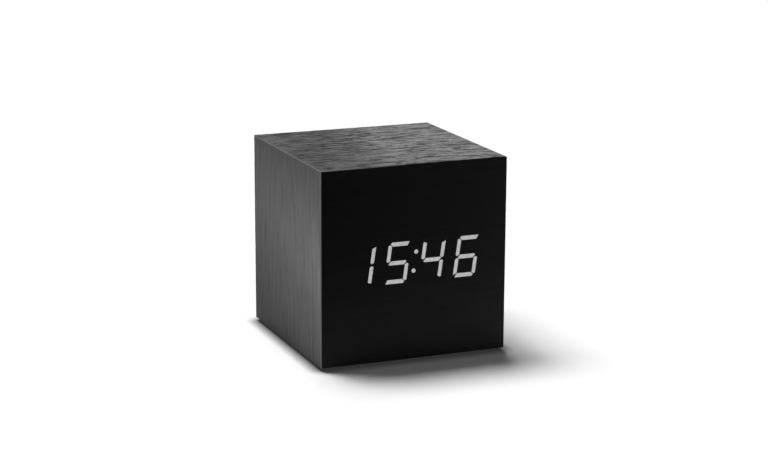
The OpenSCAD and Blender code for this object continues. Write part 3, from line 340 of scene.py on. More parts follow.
# Pores of about 0.2 mm, drawn 0.8 mm wide so that they show
pore_place = add(tree, "VectorMath", {0: mm, 1: (1 / 7, 1 / 10, 1 / 0.8)}, operation="MULTIPLY")
pore_cells = add(tree, "TexVoronoi", {"Vector": pore_place, "Scale": 1})
pore = add(tree, "MapRange", {
    "Value": pore_cells.outputs["Distance"], "From Min": 0.36, "From Max": 0.1,
}, interpolation_type="SMOOTHSTEP")
height = add(tree, "Math", {0: axes.outputs["Z"], 1: case_middle_mm}, operation="SUBTRACT")
# Painted shade and light over the dye: darkest at the upper left, lighter toward the foot and to the right
lean = add(tree, "Math", {0: axes.outputs["X"], 1: 0.15}, operation="MULTIPLY")
down_face = add(tree, "Math", {0: lean, 1: height}, operation="SUBTRACT")
fade = add(tree, "MapRange", {
    "Value": down_face, "From Min": -1.3 * case_half_mm, "From Max": 1.3 * case_half_mm,
})
fade = add(tree, "Math", {0: fade, 1: 3.8}, operation="POWER")
rightward = add(tree, "MapRange", {
    "Value": axes.outputs["X"], "From Min": -case_half_mm, "From Max": case_half_mm, "To Max": 0.125,
})
quiet = add(tree, "Math", {0: grain, 1: 0.11, 2: rightward}, operation="MULTIPLY_ADD")
depth = add(tree, "Math", {0: fade, 1: quiet}, operation="ADD")
dye_and_shade = add(tree, "Mix", {"Factor": depth, 6: srgb("#050505"), 7: srgb("#3A3A3A")}, data_type="RGBA")
# Painted highlight along the face's edges, brightest toward the left
off_x = add(tree, "Math", {0: axes.outputs["X"]}, operation="ABSOLUTE")
off_z = add(tree, "Math", {0: height}, operation="ABSOLUTE")
edge = add(tree, "Math", {0: off_x, 1: off_z}, operation="MAXIMUM")
highlight_band = add(tree, "MapRange", {
    "Value": edge, "From Min": case_half_mm - 0.4, "From Max": case_half_mm - 0.1,
}, interpolation_type="SMOOTHSTEP")
toward_left = add(tree, "MapRange", {"Value": axes.outputs["X"], "From Max": -case_half_mm, "To Max": 0.9})
arris_highlight = add(tree, "Math", {0: highlight_band, 1: toward_left}, operation="MULTIPLY")
colour = add(tree, "Mix", {"Factor": arris_highlight, 6: dye_and_shade.outputs[2], 7: srgb("#7C7C7C")}, data_type="RGBA")
low = add(tree, "Math", {0: pore, 1: -1.0}, operation="MULTIPLY")
bump = add(tree, "Bump", {"Strength": 0.4, "Distance": 0.00005, "Height": low})
surface = add(tree, "BsdfPrincipled", {
    "Base Color": colour.outputs[2], "Roughness": 0.62, "Normal": bump,
    "IOR": 1.5, "Specular IOR Level": 0.02,
})
dress(black_front, surface, "front_veneer", "unlit_windows")


# Lit windows: thin plugs of light-passing resin set into the veneer, shining white over the chips behind.
# The light is even but for a fine mottle, where the resin lets more or less of it through.
lit, tree, mm = start("lit_window_resin")
mottle = add(tree, "TexNoise", {"Vector": mm, "Scale": 1 / 0.9, "Detail": 2})
light = add(tree, "Mix", {"Factor": mottle, 6: srgb("#989898"), 7: srgb("#CACACA")}, data_type="RGBA")
surface = add(tree, "BsdfPrincipled", {
    "Base Color": srgb("#1A1A1A"), "Roughness": 0.6, "Specular IOR Level": 0.03,
    "Emission Color": light.outputs[2], "Emission Strength": 1.0,
})
dress(lit, surface, "lit_windows")


# Corner blocks: four sticks of pine glued into the rear corners, which take the cover's screws.
# Sawn, not planed, so the year rings show as soft bands with saw marks across them.
pine_ring_mm = 2.134
pine, tree, mm = start("sawn_pine")
# A diagonal wave of scale 1 runs through ten radians to the millimetre on each of the three axes
rings = add(tree, "TexWave", {
    "Vector": mm, "Scale": 2 * math.pi / (10 * math.sqrt(3) * pine_ring_mm),
    "Distortion": 2.2, "Detail": 2, "Detail Scale": 0.4,
}, bands_direction="DIAGONAL")
saw_place = add(tree, "VectorMath", {0: mm, 1: (1 / 9, 1 / 0.7, 1 / 9)}, operation="MULTIPLY")
saw = add(tree, "TexNoise", {"Vector": saw_place, "Scale": 1, "Detail": 2})
colour = add(tree, "Mix", {
    "Factor": rings.outputs["Fac"], 6: srgb("#E2C592"), 7: srgb("#BE9358"),
}, data_type="RGBA")
bump = add(tree, "Bump", {"Strength": 0.5, "Distance": 0.0001, "Height": saw})
surface = add(tree, "BsdfPrincipled", {
    "Base Color": colour.outputs[2], "Roughness": 0.8, "Normal": bump, "Specular IOR Level": 0.3,
})
dress(pine, surface, "corner_blocks")


# Rubber feet: four tapered pads, moulded in black rubber and stuck under the base.
# Matt, with a faint bloom that greys them in soft patches.
foot_rubber, tree, mm = start("moulded_black_rubber")
bloom = add(tree, "TexNoise", {"Vector": mm, "Scale": 1 / 1.5, "Detail": 4, "Roughness": 0.6})
colour = add(tree, "Mix", {"Factor": bloom, 6: srgb("#101010"), 7: srgb("#2A2A29")}, data_type="RGBA")
bump = add(tree, "Bump", {"Strength": 0.3, "Distance": 0.00006, "Height": bloom})
surface = add(tree, "BsdfPrincipled", {
    "Base Color": colour.outputs[2], "Roughness": 0.82, "Normal": bump, "Specular IOR Level": 0.3,
})
dress(foot_rubber, surface, "rubber_feet")


# Diffuser film: a sheet of frosted polyester laid in the panel's window behind the veneer.
# Milky, with a fine tooth that spreads the light of the chips.
frosted_film, tree, mm = start("frosted_polyester_film")
# Tooth of 0.02 mm, drawn at 0.3 mm so that it shows
tooth = add(tree, "TexNoise", {"Vector": mm, "Scale": 1 / 0.3, "Detail": 2})
colour = add(tree, "Mix", {"Factor": tooth, 6: srgb("#DCDCD6"), 7: srgb("#F0F0EC")}, data_type="RGBA")
bump = add(tree, "Bump", {"Strength": 0.2, "Distance": 0.00003, "Height": tooth})
surface = add(tree, "BsdfPrincipled", {
    "Base Color": colour.outputs[2], "Roughness": 0.7, "Normal": bump, "Specular IOR Level": 0.4,
})
dress(frosted_film, surface, "diffuser_film")


# Reflector shell and sound switch knob: injection moulded in white ABS.
# The shell is screwed to the panel with the display board, and the knob's foot is caught in its switch.
# Smooth from the mould, with faint flow marks in its tone and gloss.
white_abs, tree, mm = start("moulded_white_abs")
flow_place = add(tree, "VectorMath", {0: mm, 1: (1 / 12, 1 / 4, 1 / 3)}, operation="MULTIPLY")
flow = add(tree, "TexNoise", {"Vector": flow_place, "Scale": 1, "Detail": 3})
colour = add(tree, "Mix", {"Factor": flow, 6: srgb("#D2D0C8"), 7: srgb("#ECEBE6")}, data_type="RGBA")
rough = add(tree, "MapRange", {"Value": flow, "To Min": 0.5, "To Max": 0.32})
surface = add(tree, "BsdfPrincipled", {
    "Base Color": colour.outputs[2], "Roughness": rough, "IOR": 1.53, "Specular IOR Level": 0.5,
})
dress(white_abs, surface, "reflector_shell", "sound_knob")


# Display board and key board: glass-fibre laminate with copper tracks under green solder mask, screwed in.
# Tracks show as paler lines under the mask, pads are tinned, and the sawn edges are straw-coloured.
track_pitch_mm = 2.54
upright_chance = 0.5
bare_chance = 0.82
circuit_laminate, tree, mm = start("green_masked_circuit_laminate")
axes = add(tree, "SeparateXYZ", {0: mm})
board_face = add(tree, "CombineXYZ", {0: axes.outputs["X"], 1: axes.outputs["Z"]})
# Each square of the usual pitch has a track through its middle, and some have a tinned pad
grid = add(tree, "VectorMath", {0: board_face, "Scale": 1 / track_pitch_mm}, operation="SCALE")
square = add(tree, "VectorMath", {0: grid}, operation="FLOOR")
within = add(tree, "VectorMath", {0: grid}, operation="FRACTION")
chance = add(tree, "TexWhiteNoise", {"Vector": square}, noise_dimensions="2D")
upright = add(tree, "Math", {0: chance.outputs["Value"], 1: upright_chance}, operation="GREATER_THAN")
part = add(tree, "SeparateXYZ", {0: within})
across = add(tree, "Mix", {
    "Factor": upright, 2: part.outputs["Y"], 3: part.outputs["X"],
}, data_type="FLOAT")
off_line = add(tree, "Math", {0: across, 1: 0.5}, operation="SUBTRACT")
off_line = add(tree, "Math", {0: off_line}, operation="ABSOLUTE")
track = add(tree, "MapRange", {"Value": off_line, "From Min": 0.17, "From Max": 0.13})
off_pad = add(tree, "VectorMath", {0: within, 1: (0.5, 0.5, 0)}, operation="DISTANCE")
pad = add(tree, "MapRange", {"Value": off_pad.outputs["Value"], "From Min": 0.27, "From Max": 0.23})
has_pad = add(tree, "Math", {0: chance.outputs["Value"], 1: bare_chance}, operation="GREATER_THAN")
tinned = add(tree, "Math", {0: pad, 1: has_pad}, operation="MULTIPLY")
mask_tone = add(tree, "TexNoise", {"Vector": mm, "Scale": 1 / 6, "Detail": 2})
mask = add(tree, "Mix", {"Factor": mask_tone, 6: srgb("#0C4527"), 7: srgb("#14573A")}, data_type="RGBA")
tracked = add(tree, "Mix", {"Factor": track, 6: mask.outputs[2], 7: srgb("#2A7F4E")}, data_type="RGBA")
padded = add(tree, "Mix", {"Factor": tinned, 6: tracked.outputs[2], 7: srgb("#BCC0C2")}, data_type="RGBA")
facing = add(tree, "NewGeometry")
facing = add(tree, "SeparateXYZ", {0: facing.outputs["True Normal"]})
on_face = add(tree, "Math", {0: facing.outputs["Y"]}, operation="ABSOLUTE")
on_face = add(tree, "Math", {0: on_face, 1: 0.5}, operation="GREATER_THAN")
colour = add(tree, "Mix", {"Factor": on_face, 6: srgb("#B9AE74"), 7: padded.outputs[2]}, data_type="RGBA")
metal = add(tree, "Math", {0: tinned, 1: on_face}, operation="MULTIPLY")
bump = add(tree, "Bump", {"Strength": 0.6, "Distance": 0.00004, "Height": track})
surface = add(tree, "BsdfPrincipled", {
    "Base Color": colour.outputs[2], "Metallic": metal, "Roughness": 0.36,
    "Normal": bump, "IOR": 1.5,
})
dress(circuit_laminate, surface, "display_board", "key_board")


# Light chips: thirty white light-emitting diodes soldered on the display board's front.
# A white moulded body, its front filled flush with yellow phosphor gel.
phosphor_chip, tree, mm = start("white_chip_with_phosphor")
# Phosphor grains of 0.02 mm, drawn at 0.25 mm so that they show
grain = add(tree, "TexNoise", {"Vector": mm, "Scale": 1 / 0.25, "Detail": 2})
gel = add(tree, "Mix", {"Factor": grain, 6: srgb("#D9B23C"), 7: srgb("#EFD777")}, data_type="RGBA")
facing = add(tree, "NewGeometry")
facing = add(tree, "SeparateXYZ", {0: facing.outputs["True Normal"]})
on_front = add(tree, "Math", {0: facing.outputs["Y"], 1: -0.5}, operation="LESS_THAN")
colour = add(tree, "Mix", {"Factor": on_front, 6: srgb("#E9E7E0"), 7: gel.outputs[2]}, data_type="RGBA")
surface = add(tree, "BsdfPrincipled", {"Base Color": colour.outputs[2], "Roughness": 0.34, "IOR": 1.5})
dress(phosphor_chip, surface, "light_chips")


# Screws and crystal can: headed from steel wire and drawn from steel sheet, zinc plated and passivated.
# Grey metal with a faint blue and straw tint, and fine marks of the tool that made it.
zinc_steel, tree, mm = start("zinc_plated_steel")
tint = add(tree, "TexNoise", {"Vector": mm, "Scale": 1 / 2.2, "Detail": 2})
# Tool marks of 0.05 mm, drawn at 0.22 mm so that they show
tooling = add(tree, "TexNoise", {"Vector": mm, "Scale": 1 / 0.22, "Detail": 3})
colour = add(tree, "Mix", {"Factor": tint, 6: srgb("#AEB4BC"), 7: srgb("#C6C3B8")}, data_type="RGBA")
rough = add(tree, "MapRange", {"Value": tooling, "To Min": 0.2, "To Max": 0.46})
bump = add(tree, "Bump", {"Strength": 0.2, "Distance": 0.00002, "Height": tooling})
surface = add(tree, "BsdfPrincipled", {
    "Base Color": colour.outputs[2], "Metallic": 1.0, "Roughness": rough, "Normal": bump,
})
dress(zinc_steel, surface, "display_screws", "crystal", "key_board_screws", "rear_screws")


# Controller blob and sensor bead: black epoxy, dropped on wet and cured.
# Deep black and glossy, with a slow swell in the skin; the sensor's two leads stay bright tin.
bead_low, bead_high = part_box("temperature_sensor")
lead_share = 0.46
lead_start_mm = bead_low.y * 1000 - 0.1
lead_end_mm = (bead_low.y + (bead_high.y - bead_low.y) * lead_share) * 1000
black_epoxy, tree, mm = start("cured_black_epoxy")
swell = add(tree, "TexNoise", {"Vector": mm, "Scale": 1 / 3, "Detail": 1})
colour = add(tree, "Mix", {"Factor": swell, 6: srgb("#0A0A0B"), 7: srgb("#161618")}, data_type="RGBA")
axes = add(tree, "SeparateXYZ", {0: mm})
below = add(tree, "Math", {0: axes.outputs["Y"], 1: lead_end_mm}, operation="LESS_THAN")
behind = add(tree, "Math", {0: axes.outputs["Y"], 1: lead_start_mm}, operation="GREATER_THAN")
lead = add(tree, "Math", {0: below, 1: behind}, operation="MULTIPLY")
tinned = add(tree, "Mix", {"Factor": lead, 6: colour.outputs[2], 7: srgb("#C4C6C8")}, data_type="RGBA")
bump = add(tree, "Bump", {"Strength": 0.25, "Distance": 0.0002, "Height": swell})
surface = add(tree, "BsdfPrincipled", {
    "Base Color": tinned.outputs[2], "Metallic": lead, "Roughness": 0.16,
    "Normal": bump, "IOR": 1.55,
})
dress(black_epoxy, surface, "controller_blob", "temperature_sensor")


# Coin cell: a pressed stainless cup in its holder, which keeps the time when the main power is off.
# Spun finish: fine rings round its middle and a soft sheen.
coin_low, coin_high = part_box("coin_cell")
coin_middle_mm = (coin_low + coin_high) * 500
spun_steel, tree, mm = start("spun_stainless_steel")
out = add(tree, "VectorMath", {0: mm, 1: coin_middle_mm}, operation="SUBTRACT")
flat = add(tree, "VectorMath", {0: out, 1: (1, 0, 1)}, operation="MULTIPLY")
radius = add(tree, "VectorMath", {0: flat}, operation="LENGTH")
# Tool rings 0.05 mm apart, drawn 0.3 mm apart so that they show
spun = add(tree, "TexNoise", {
    "W": radius.outputs["Value"], "Scale": 1 / 0.3, "Detail": 3,
}, noise_dimensions="1D")
colour = add(tree, "Mix", {"Factor": spun, 6: srgb("#A9ABAE"), 7: srgb("#CBCCCD")}, data_type="RGBA")
rough = add(tree, "MapRange", {"Value": spun, "To Min": 0.18, "To Max": 0.38})
bump = add(tree, "Bump", {"Strength": 0.3, "Distance": 0.00003, "Height": spun})
surface = add(tree, "BsdfPrincipled", {
    "Base Color": colour.outputs[2], "Metallic": 1.0, "Roughness": rough, "Normal": bump,
})
dress(spun_steel, surface, "coin_cell")


# Filter capacitor: an aluminium can in a shrunk plastic sleeve, standing on the display board.
# Dark blue sleeve with a pale stripe down the negative side, bare aluminium on top.
can_low, can_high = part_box("filter_capacitor")
can_middle_mm = (can_low + can_high) * 500
can_top_mm = can_high.y * 1000
stripe_edge_mm = -2.0
sleeve_lip_mm = 0.3
bare_radius_mm = 2.0
sleeved_can, tree, mm = start("sleeved_aluminium_can")
axes = add(tree, "SeparateXYZ", {0: mm})
out = add(tree, "VectorMath", {0: mm, 1: can_middle_mm}, operation="SUBTRACT")
out_axes = add(tree, "SeparateXYZ", {0: out})
flat = add(tree, "VectorMath", {0: out, 1: (1, 0, 1)}, operation="MULTIPLY")
radius = add(tree, "VectorMath", {0: flat}, operation="LENGTH")
stripe = add(tree, "MapRange", {
    "Value": out_axes.outputs["X"], "From Min": stripe_edge_mm, "From Max": stripe_edge_mm - 0.1,
})
sleeve = add(tree, "Mix", {"Factor": stripe, 6: srgb("#16233F"), 7: srgb("#B9C0CC")}, data_type="RGBA")
at_top = add(tree, "Math", {0: axes.outputs["Y"], 1: can_top_mm - sleeve_lip_mm}, operation="GREATER_THAN")
inside = add(tree, "Math", {0: radius.outputs["Value"], 1: bare_radius_mm}, operation="LESS_THAN")
bare = add(tree, "Math", {0: at_top, 1: inside}, operation="MULTIPLY")
colour = add(tree, "Mix", {"Factor": bare, 6: sleeve.outputs[2], 7: srgb("#C2C4C6")}, data_type="RGBA")
surface = add(tree, "BsdfPrincipled", {
    "Base Color": colour.outputs[2], "Metallic": bare, "Roughness": 0.3, "IOR": 1.5,
})
dress(sleeved_can, surface, "filter_capacitor")


# Ribbon connectors and switch stems: moulded in undyed nylon. The connectors stand on the two boards.
# Warm ivory and waxy, in faintly uneven shades.
nylon, tree, mm = start("undyed_moulded_nylon")
wax = add(tree, "TexNoise", {"Vector": mm, "Scale": 1 / 2.5, "Detail": 2})
colour = add(tree, "Mix", {"Factor": wax, 6: srgb("#D6CBA9"), 7: srgb("#EAE3CC")}, data_type="RGBA")
rough = add(tree, "MapRange", {"Value": wax, "To Min": 0.55, "To Max": 0.4})
surface = add(tree, "BsdfPrincipled", {"Base Color": colour.outputs[2], "Roughness": rough, "IOR": 1.53})
dress(nylon, surface, "display_connector", "key_connector", "set_stem", "up_stem", "down_stem")


# Ribbon cable: ten wires side by side in grey vinyl, from the display board to the key board.
# One rib to each wire, a millimetre apart, and a red rib at the edge that marks the first wire.
first_wire_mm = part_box("ribbon_cable")[0].x * 1000 + 1.0
vinyl_ribbon, tree, mm = start("grey_vinyl_ribbon")
axes = add(tree, "SeparateXYZ", {0: mm})
rib = add(tree, "Math", {0: axes.outputs["X"], 1: 2 * math.pi}, operation="MULTIPLY")
rib = add(tree, "Math", {0: rib}, operation="COSINE")
# Painted shade: the grey darkens in the grooves between the wires' ribs
rib_shade = add(tree, "MapRange", {"Value": rib, "From Min": -1.0, "From Max": 1.0})
grey = add(tree, "Mix", {"Factor": rib_shade, 6: srgb("#9A9C9F"), 7: srgb("#6E7073")}, data_type="RGBA")
first_wire = add(tree, "Math", {0: axes.outputs["X"], 1: first_wire_mm}, operation="LESS_THAN")
colour = add(tree, "Mix", {"Factor": first_wire, 6: grey.outputs[2], 7: srgb("#A82A24")}, data_type="RGBA")
low = add(tree, "Math", {0: rib, 1: -1.0}, operation="MULTIPLY")
bump = add(tree, "Bump", {"Strength": 0.8, "Distance": 0.00015, "Height": low})
surface = add(tree, "BsdfPrincipled", {
    "Base Color": colour.outputs[2], "Roughness": 0.48, "Normal": bump, "IOR": 1.52,
})
dress(vinyl_ribbon, surface, "ribbon_cable")


# Rear cover, door, keys, inlet and the switch, buzzer and cell housings: injection moulded in black ABS.
# The cover is screwed to the corner blocks, and the door swings on two pins at its lower edge.
# The mould is spark-eroded, which leaves a fine even grit; handling has polished it in patches.
black_abs, tree, mm = start("spark_grained_black_abs")
# Grit of 0.1 mm, drawn at 0.45 mm so that it shows
grit = add(tree, "TexNoise", {"Vector": mm, "Scale": 1 / 0.45, "Detail": 3, "Roughness": 0.6})
handled = add(tree, "TexNoise", {"Vector": mm, "Scale": 1 / 17, "Detail": 3})
tone = add(tree, "Math", {0: grit, 1: handled}, operation="MULTIPLY")
colour = add(tree, "Mix", {"Factor": tone, 6: srgb("#161617"), 7: srgb("#343436")}, data_type="RGBA")
rough = add(tree, "MapRange", {"Value": handled, "To Min": 0.68, "To Max": 0.42})
bump = add(tree, "Bump", {"Strength": 0.35, "Distance": 0.00006, "Height": grit})
surface = add(tree, "BsdfPrincipled", {
    "Base Color": colour.outputs[2], "Roughness": rough, "Normal": bump,
    "IOR": 1.53, "Specular IOR Level": 0.4,
})
dress(
    black_abs, surface, "coin_cell_holder", "buzzer", "key_switches", "set_key", "up_key", "down_key",
    "power_inlet", "rear_cover", "battery_door",
)


# Sound switch can, inlet pin, contact plates and springs: steel strip, rod and wire, nickel plated.
# Warm bright metal with a light drag of scratches from the press tools.
nickel_steel, tree, mm = start("nickel_plated_steel")
# Scratches of 0.05 mm, drawn 0.4 mm wide so that they show
drag_place = add(tree, "VectorMath", {0: mm, 1: (1 / 5, 1 / 0.4, 1 / 1.2)}, operation="MULTIPLY")
drag = add(tree, "TexNoise", {"Vector": drag_place, "Scale": 1, "Detail": 4})
colour = add(tree, "Mix", {"Factor": drag, 6: srgb("#B4AEA0"), 7: srgb("#D6D1C5")}, data_type="RGBA")
rough = add(tree, "MapRange", {"Value": drag, "To Min": 0.14, "To Max": 0.38})
surface = add(tree, "BsdfPrincipled", {
    "Base Color": colour.outputs[2], "Metallic": 1.0, "Roughness": rough,
})
dress(nickel_steel, surface, "sound_switch", "inlet_pin", "contact_plates", "contact_springs")


# Microphone: a small electret capsule in a drawn aluminium can, which hears claps and wakes the display.
# Satin can, with a disc of black felt over its port.
ear_low, ear_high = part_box("microphone")
ear_middle_mm = (ear_low + ear_high) * 500
felt_back_mm = ear_high.y * 1000 - 0.05
felt_radius_mm = 1.6
felted_can, tree, mm = start("felted_aluminium_can")
axes = add(tree, "SeparateXYZ", {0: mm})
out = add(tree, "VectorMath", {0: mm, 1: ear_middle_mm}, operation="SUBTRACT")
flat = add(tree, "VectorMath", {0: out, 1: (1, 0, 1)}, operation="MULTIPLY")
radius = add(tree, "VectorMath", {0: flat}, operation="LENGTH")
at_top = add(tree, "Math", {0: axes.outputs["Y"], 1: felt_back_mm}, operation="GREATER_THAN")
inside = add(tree, "Math", {0: radius.outputs["Value"], 1: felt_radius_mm}, operation="LESS_THAN")
felt = add(tree, "Math", {0: at_top, 1: inside}, operation="MULTIPLY")
# Nap of 0.02 mm, drawn at 0.2 mm so that it shows
nap = add(tree, "TexNoise", {"Vector": mm, "Scale": 1 / 0.2, "Detail": 2})
pile = add(tree, "Mix", {"Factor": nap, 6: srgb("#0C0C0C"), 7: srgb("#242424")}, data_type="RGBA")
colour = add(tree, "Mix", {"Factor": felt, 6: srgb("#BDBFC2"), 7: pile.outputs[2]}, data_type="RGBA")
metal = add(tree, "Math", {0: 1.0, 1: felt}, operation="SUBTRACT")
rough = add(tree, "MapRange", {"Value": felt, "To Min": 0.34, "To Max": 0.95})
surface = add(tree, "BsdfPrincipled", {
    "Base Color": colour.outputs[2], "Metallic": metal, "Roughness": rough,
})
dress(felted_can, surface, "microphone")


# Cells: three steel cans in plain printed film sleeves, laid head to tail in the bay.
# Graphite film with a copper-coloured collar and a plus sign at the nub's end, a minus at the other.
cell_low, cell_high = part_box("middle_cell")
cell_middle_mm = (cell_low + cell_high) * 500
cell_nub_mm = -cell_low.x * 1000
cell_base_mm = -cell_high.x * 1000
cell_pitch_mm = (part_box("upper_cell")[0].z - cell_low.z) * 1000
collar_mm = 10
plus_inset_mm = 6
minus_inset_mm = 5
stroke_half_mm = 0.3
sign_half_mm = 1.2
bare_nub_mm = 1.4
bare_base_mm = 0.35
film_sleeve, tree, mm = start("printed_film_on_steel_cell")
axes = add(tree, "SeparateXYZ", {0: mm})
height = add(tree, "Math", {0: axes.outputs["Z"], 1: cell_middle_mm.z}, operation="SUBTRACT")
off_z = add(tree, "Math", {0: height}, operation="ABSOLUTE")
outer_cell = add(tree, "Math", {0: off_z, 1: cell_pitch_mm / 2}, operation="GREATER_THAN")
way = add(tree, "MapRange", {"Value": outer_cell, "To Min": -1.0, "To Max": 1.0})
along = add(tree, "Math", {0: axes.outputs["X"], 1: way}, operation="MULTIPLY")
on_cell = add(tree, "Math", {0: height, 1: -cell_pitch_mm / 2, 2: cell_pitch_mm / 2}, operation="WRAP")
off_axis = add(tree, "Math", {0: on_cell}, operation="ABSOLUTE")
# Signs 2.4 mm across with strokes 0.6 mm wide, on the side that faces the door
outward = add(tree, "Math", {0: axes.outputs["Y"], 1: cell_middle_mm.y}, operation="GREATER_THAN")
marks = []
for sign_at, upright_too in ((cell_nub_mm - plus_inset_mm, True), (cell_base_mm + minus_inset_mm, False)):
    off_sign = add(tree, "Math", {0: along, 1: sign_at}, operation="SUBTRACT")
    off_sign = add(tree, "Math", {0: off_sign}, operation="ABSOLUTE")
    strokes = [(off_axis, off_sign)]
    if upright_too:
        strokes.append((off_sign, off_axis))
    for thin_way, long_way in strokes:
        thin = add(tree, "Math", {0: thin_way, 1: stroke_half_mm}, operation="LESS_THAN")
        long = add(tree, "Math", {0: long_way, 1: sign_half_mm}, operation="LESS_THAN")
        marks.append(add(tree, "Math", {0: thin, 1: long}, operation="MULTIPLY"))
signs = marks[0]
for stroke in marks[1:]:
    signs = add(tree, "Math", {0: signs, 1: stroke}, operation="MAXIMUM")
printed = add(tree, "Math", {0: signs, 1: outward}, operation="MULTIPLY")
collar = add(tree, "Math", {0: along, 1: cell_nub_mm - collar_mm}, operation="GREATER_THAN")
film = add(tree, "Mix", {"Factor": collar, 6: srgb("#23262B"), 7: srgb("#A8642C")}, data_type="RGBA")
signed = add(tree, "Mix", {"Factor": printed, 6: film.outputs[2], 7: srgb("#E4E2DC")}, data_type="RGBA")
past_nub = add(tree, "Math", {0: along, 1: cell_nub_mm - bare_nub_mm}, operation="GREATER_THAN")
past_base = add(tree, "Math", {0: along, 1: cell_base_mm + bare_base_mm}, operation="LESS_THAN")
bare = add(tree, "Math", {0: past_nub, 1: past_base}, operation="MAXIMUM")
colour = add(tree, "Mix", {"Factor": bare, 6: signed.outputs[2], 7: srgb("#C3C4C6")}, data_type="RGBA")
surface = add(tree, "BsdfPrincipled", {
    "Base Color": colour.outputs[2], "Metallic": bare, "Roughness": 0.3, "IOR": 1.5,
})
dress(film_sleeve, surface, "upper_cell", "middle_cell", "lower_cell")


# Wires: stranded copper in extruded vinyl, red from the plus tab and black from the minus tab.
# Smooth and half glossy, with faint dulling from handling.
for wire_finish, wire, deep, pale in (
    ("red_vinyl_wire", "positive_wire", "#8E1512", "#B8231D"),
    ("black_vinyl_wire", "negative_wire", "#101010", "#222222"),
):
    vinyl, tree, mm = start(wire_finish)
    dulled = add(tree, "TexNoise", {"Vector": mm, "Scale": 1 / 2, "Detail": 2})
    colour = add(tree, "Mix", {"Factor": dulled, 6: srgb(deep), 7: srgb(pale)}, data_type="RGBA")
    rough = add(tree, "MapRange", {"Value": dulled, "To Min": 0.3, "To Max": 0.5})
    surface = add(tree, "BsdfPrincipled", {
        "Base Color": colour.outputs[2], "Roughness": rough, "IOR": 1.52,
    })
    dress(vinyl, surface, wire)


# Key marks: a clock face over the set key, and a triangle over the up and down keys.
# Pad printed on the cover in white ink, which lies a hair above the plastic.
ink_rise = 0.00006
ink_line = 0.00022
ink_body = 1.5 * ink_rise
bar_body = 1.3 * ink_rise
upright_body = 1.1 * ink_rise
weld_gap = 0.000001
ring_sides = 32
mark_size = 0.0009
minute_hand = mark_size * 0.75
hour_hand = mark_size * 0.6
cover_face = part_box("rear_cover")[1].y
key_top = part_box("up_key")[1].z
cover_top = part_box("rear_cover")[1].z
mark_height = (key_top + cover_top) / 2

ink, tree, mm = start("white_pad_print_ink")
wear_and_highlight = add(tree, "TexNoise", {"Vector": mm, "Scale": 1 / 0.35, "Detail": 3})
colour = add(tree, "Mix", {"Factor": wear_and_highlight, 6: srgb("#B9B9B5"), 7: srgb("#E2E2DE")}, data_type="RGBA")
surface = add(tree, "BsdfPrincipled", {"Base Color": colour.outputs[2], "Roughness": 0.55, "IOR": 1.5})
dress(ink, surface)


def flat_shape(sides, radius, x, z, turn=0.0):
    """Starts a flat shape on the cover's face, open for editing, with all of it selected."""
    bpy.ops.object.select_all(action="DESELECT")
    bpy.ops.mesh.primitive_circle_add(
        vertices=sides, radius=radius, fill_type="NGON", location=(x, cover_face - ink_rise / 2, z),
        rotation=(math.radians(-90), turn, 0),
    )
    bpy.ops.object.mode_set(mode="EDIT")
    bpy.ops.mesh.select_all(action="SELECT")


def flat_box(x, z, wide, high):
    """Starts a flat rectangle on the cover's face, in the same way."""
    flat_shape(4, math.sqrt(0.5), x, z, math.radians(45))
    bpy.ops.transform.resize(value=(wide, 1, high), center_override=(x, cover_face, z))


def flat_ring(sides, radius, x, z):
    """Starts a flat ring on the cover's face, in the same way."""
    flat_shape(sides, radius, x, z)
    bpy.ops.mesh.inset(thickness=ink_line)
    bpy.ops.mesh.delete(type="FACE")
    bpy.ops.mesh.select_all(action="SELECT")


def raise_shape(rise):
    """Raises the open flat shape toward the rear, closes it, and makes both faces exactly flat."""
    bpy.ops.mesh.select_all(action="SELECT")
    bpy.ops.mesh.delete_loose()
    bpy.ops.mesh.select_all(action="SELECT")
    bpy.ops.mesh.extrude_region_move(TRANSFORM_OT_translate={"value": (0, rise, 0)})
    bpy.ops.mesh.select_all(action="SELECT")
    bpy.ops.mesh.remove_doubles(threshold=weld_gap)
    bpy.ops.mesh.normals_make_consistent(inside=False)
    bpy.ops.object.mode_set(mode="OBJECT")
    bpy.ops.object.transform_apply(location=True, rotation=True, scale=True)
    shape = bpy.context.object
    middle = cover_face + ink_rise / 4
    for corner in shape.data.vertices:
        corner.co.y = middle + math.copysign(rise / 2, corner.co.y - middle)
    return shape


def ring_shape(radius, x, z):
    """A printed ring."""
    flat_ring(ring_sides, radius, x, z)
    return raise_shape(ink_body)


def bar_shape(x, z, wide, high):
    """A printed bar with rounded corners, a little thinner than what it runs into, so no faces coincide."""
    flat_box(x, z, wide, high)
    bpy.ops.mesh.bevel(offset=min(wide, high) / 4, segments=2, affect="VERTICES")
    return raise_shape(bar_body if wide > high else upright_body)


def print_mark(name, shapes):
    """Melts printed shapes into one mark on the case."""
    made = shapes[0]
    made.name = name
    bpy.context.view_layer.objects.active = made
    for shape in shapes[1:]:
        union = made.modifiers.new("union", "BOOLEAN")
        union.operation = "UNION"
        union.solver = "EXACT"
        union.object = shape
        bpy.ops.object.modifier_apply(modifier="union")
        bpy.data.objects.remove(shape)
    bpy.ops.object.mode_set(mode="EDIT")
    bpy.ops.mesh.select_all(action="SELECT")
    bpy.ops.mesh.remove_doubles(threshold=weld_gap)
    bpy.ops.object.mode_set(mode="OBJECT")
    made.data.materials.append(ink)
    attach(made, "case")


for key, turn in (("up", math.pi), ("down", 0.0)):
    key_low, key_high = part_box(key + "_key")
    flat_shape(3, mark_size, (key_low.x + key_high.x) / 2, mark_height, turn)
    bpy.ops.mesh.bevel(offset=ink_line / 2, segments=3, affect="VERTICES")
    print_mark(key + "_mark", [raise_shape(ink_body)])

key_low, key_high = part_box("set_key")
key_x = (key_low.x + key_high.x) / 2
print_mark("set_mark", [
    ring_shape(mark_size, key_x, mark_height),
    bar_shape(key_x, mark_height + mark_size / 4, ink_line, minute_hand),
    bar_shape(key_x - mark_size / 5, mark_height, hour_hand, ink_line),
])


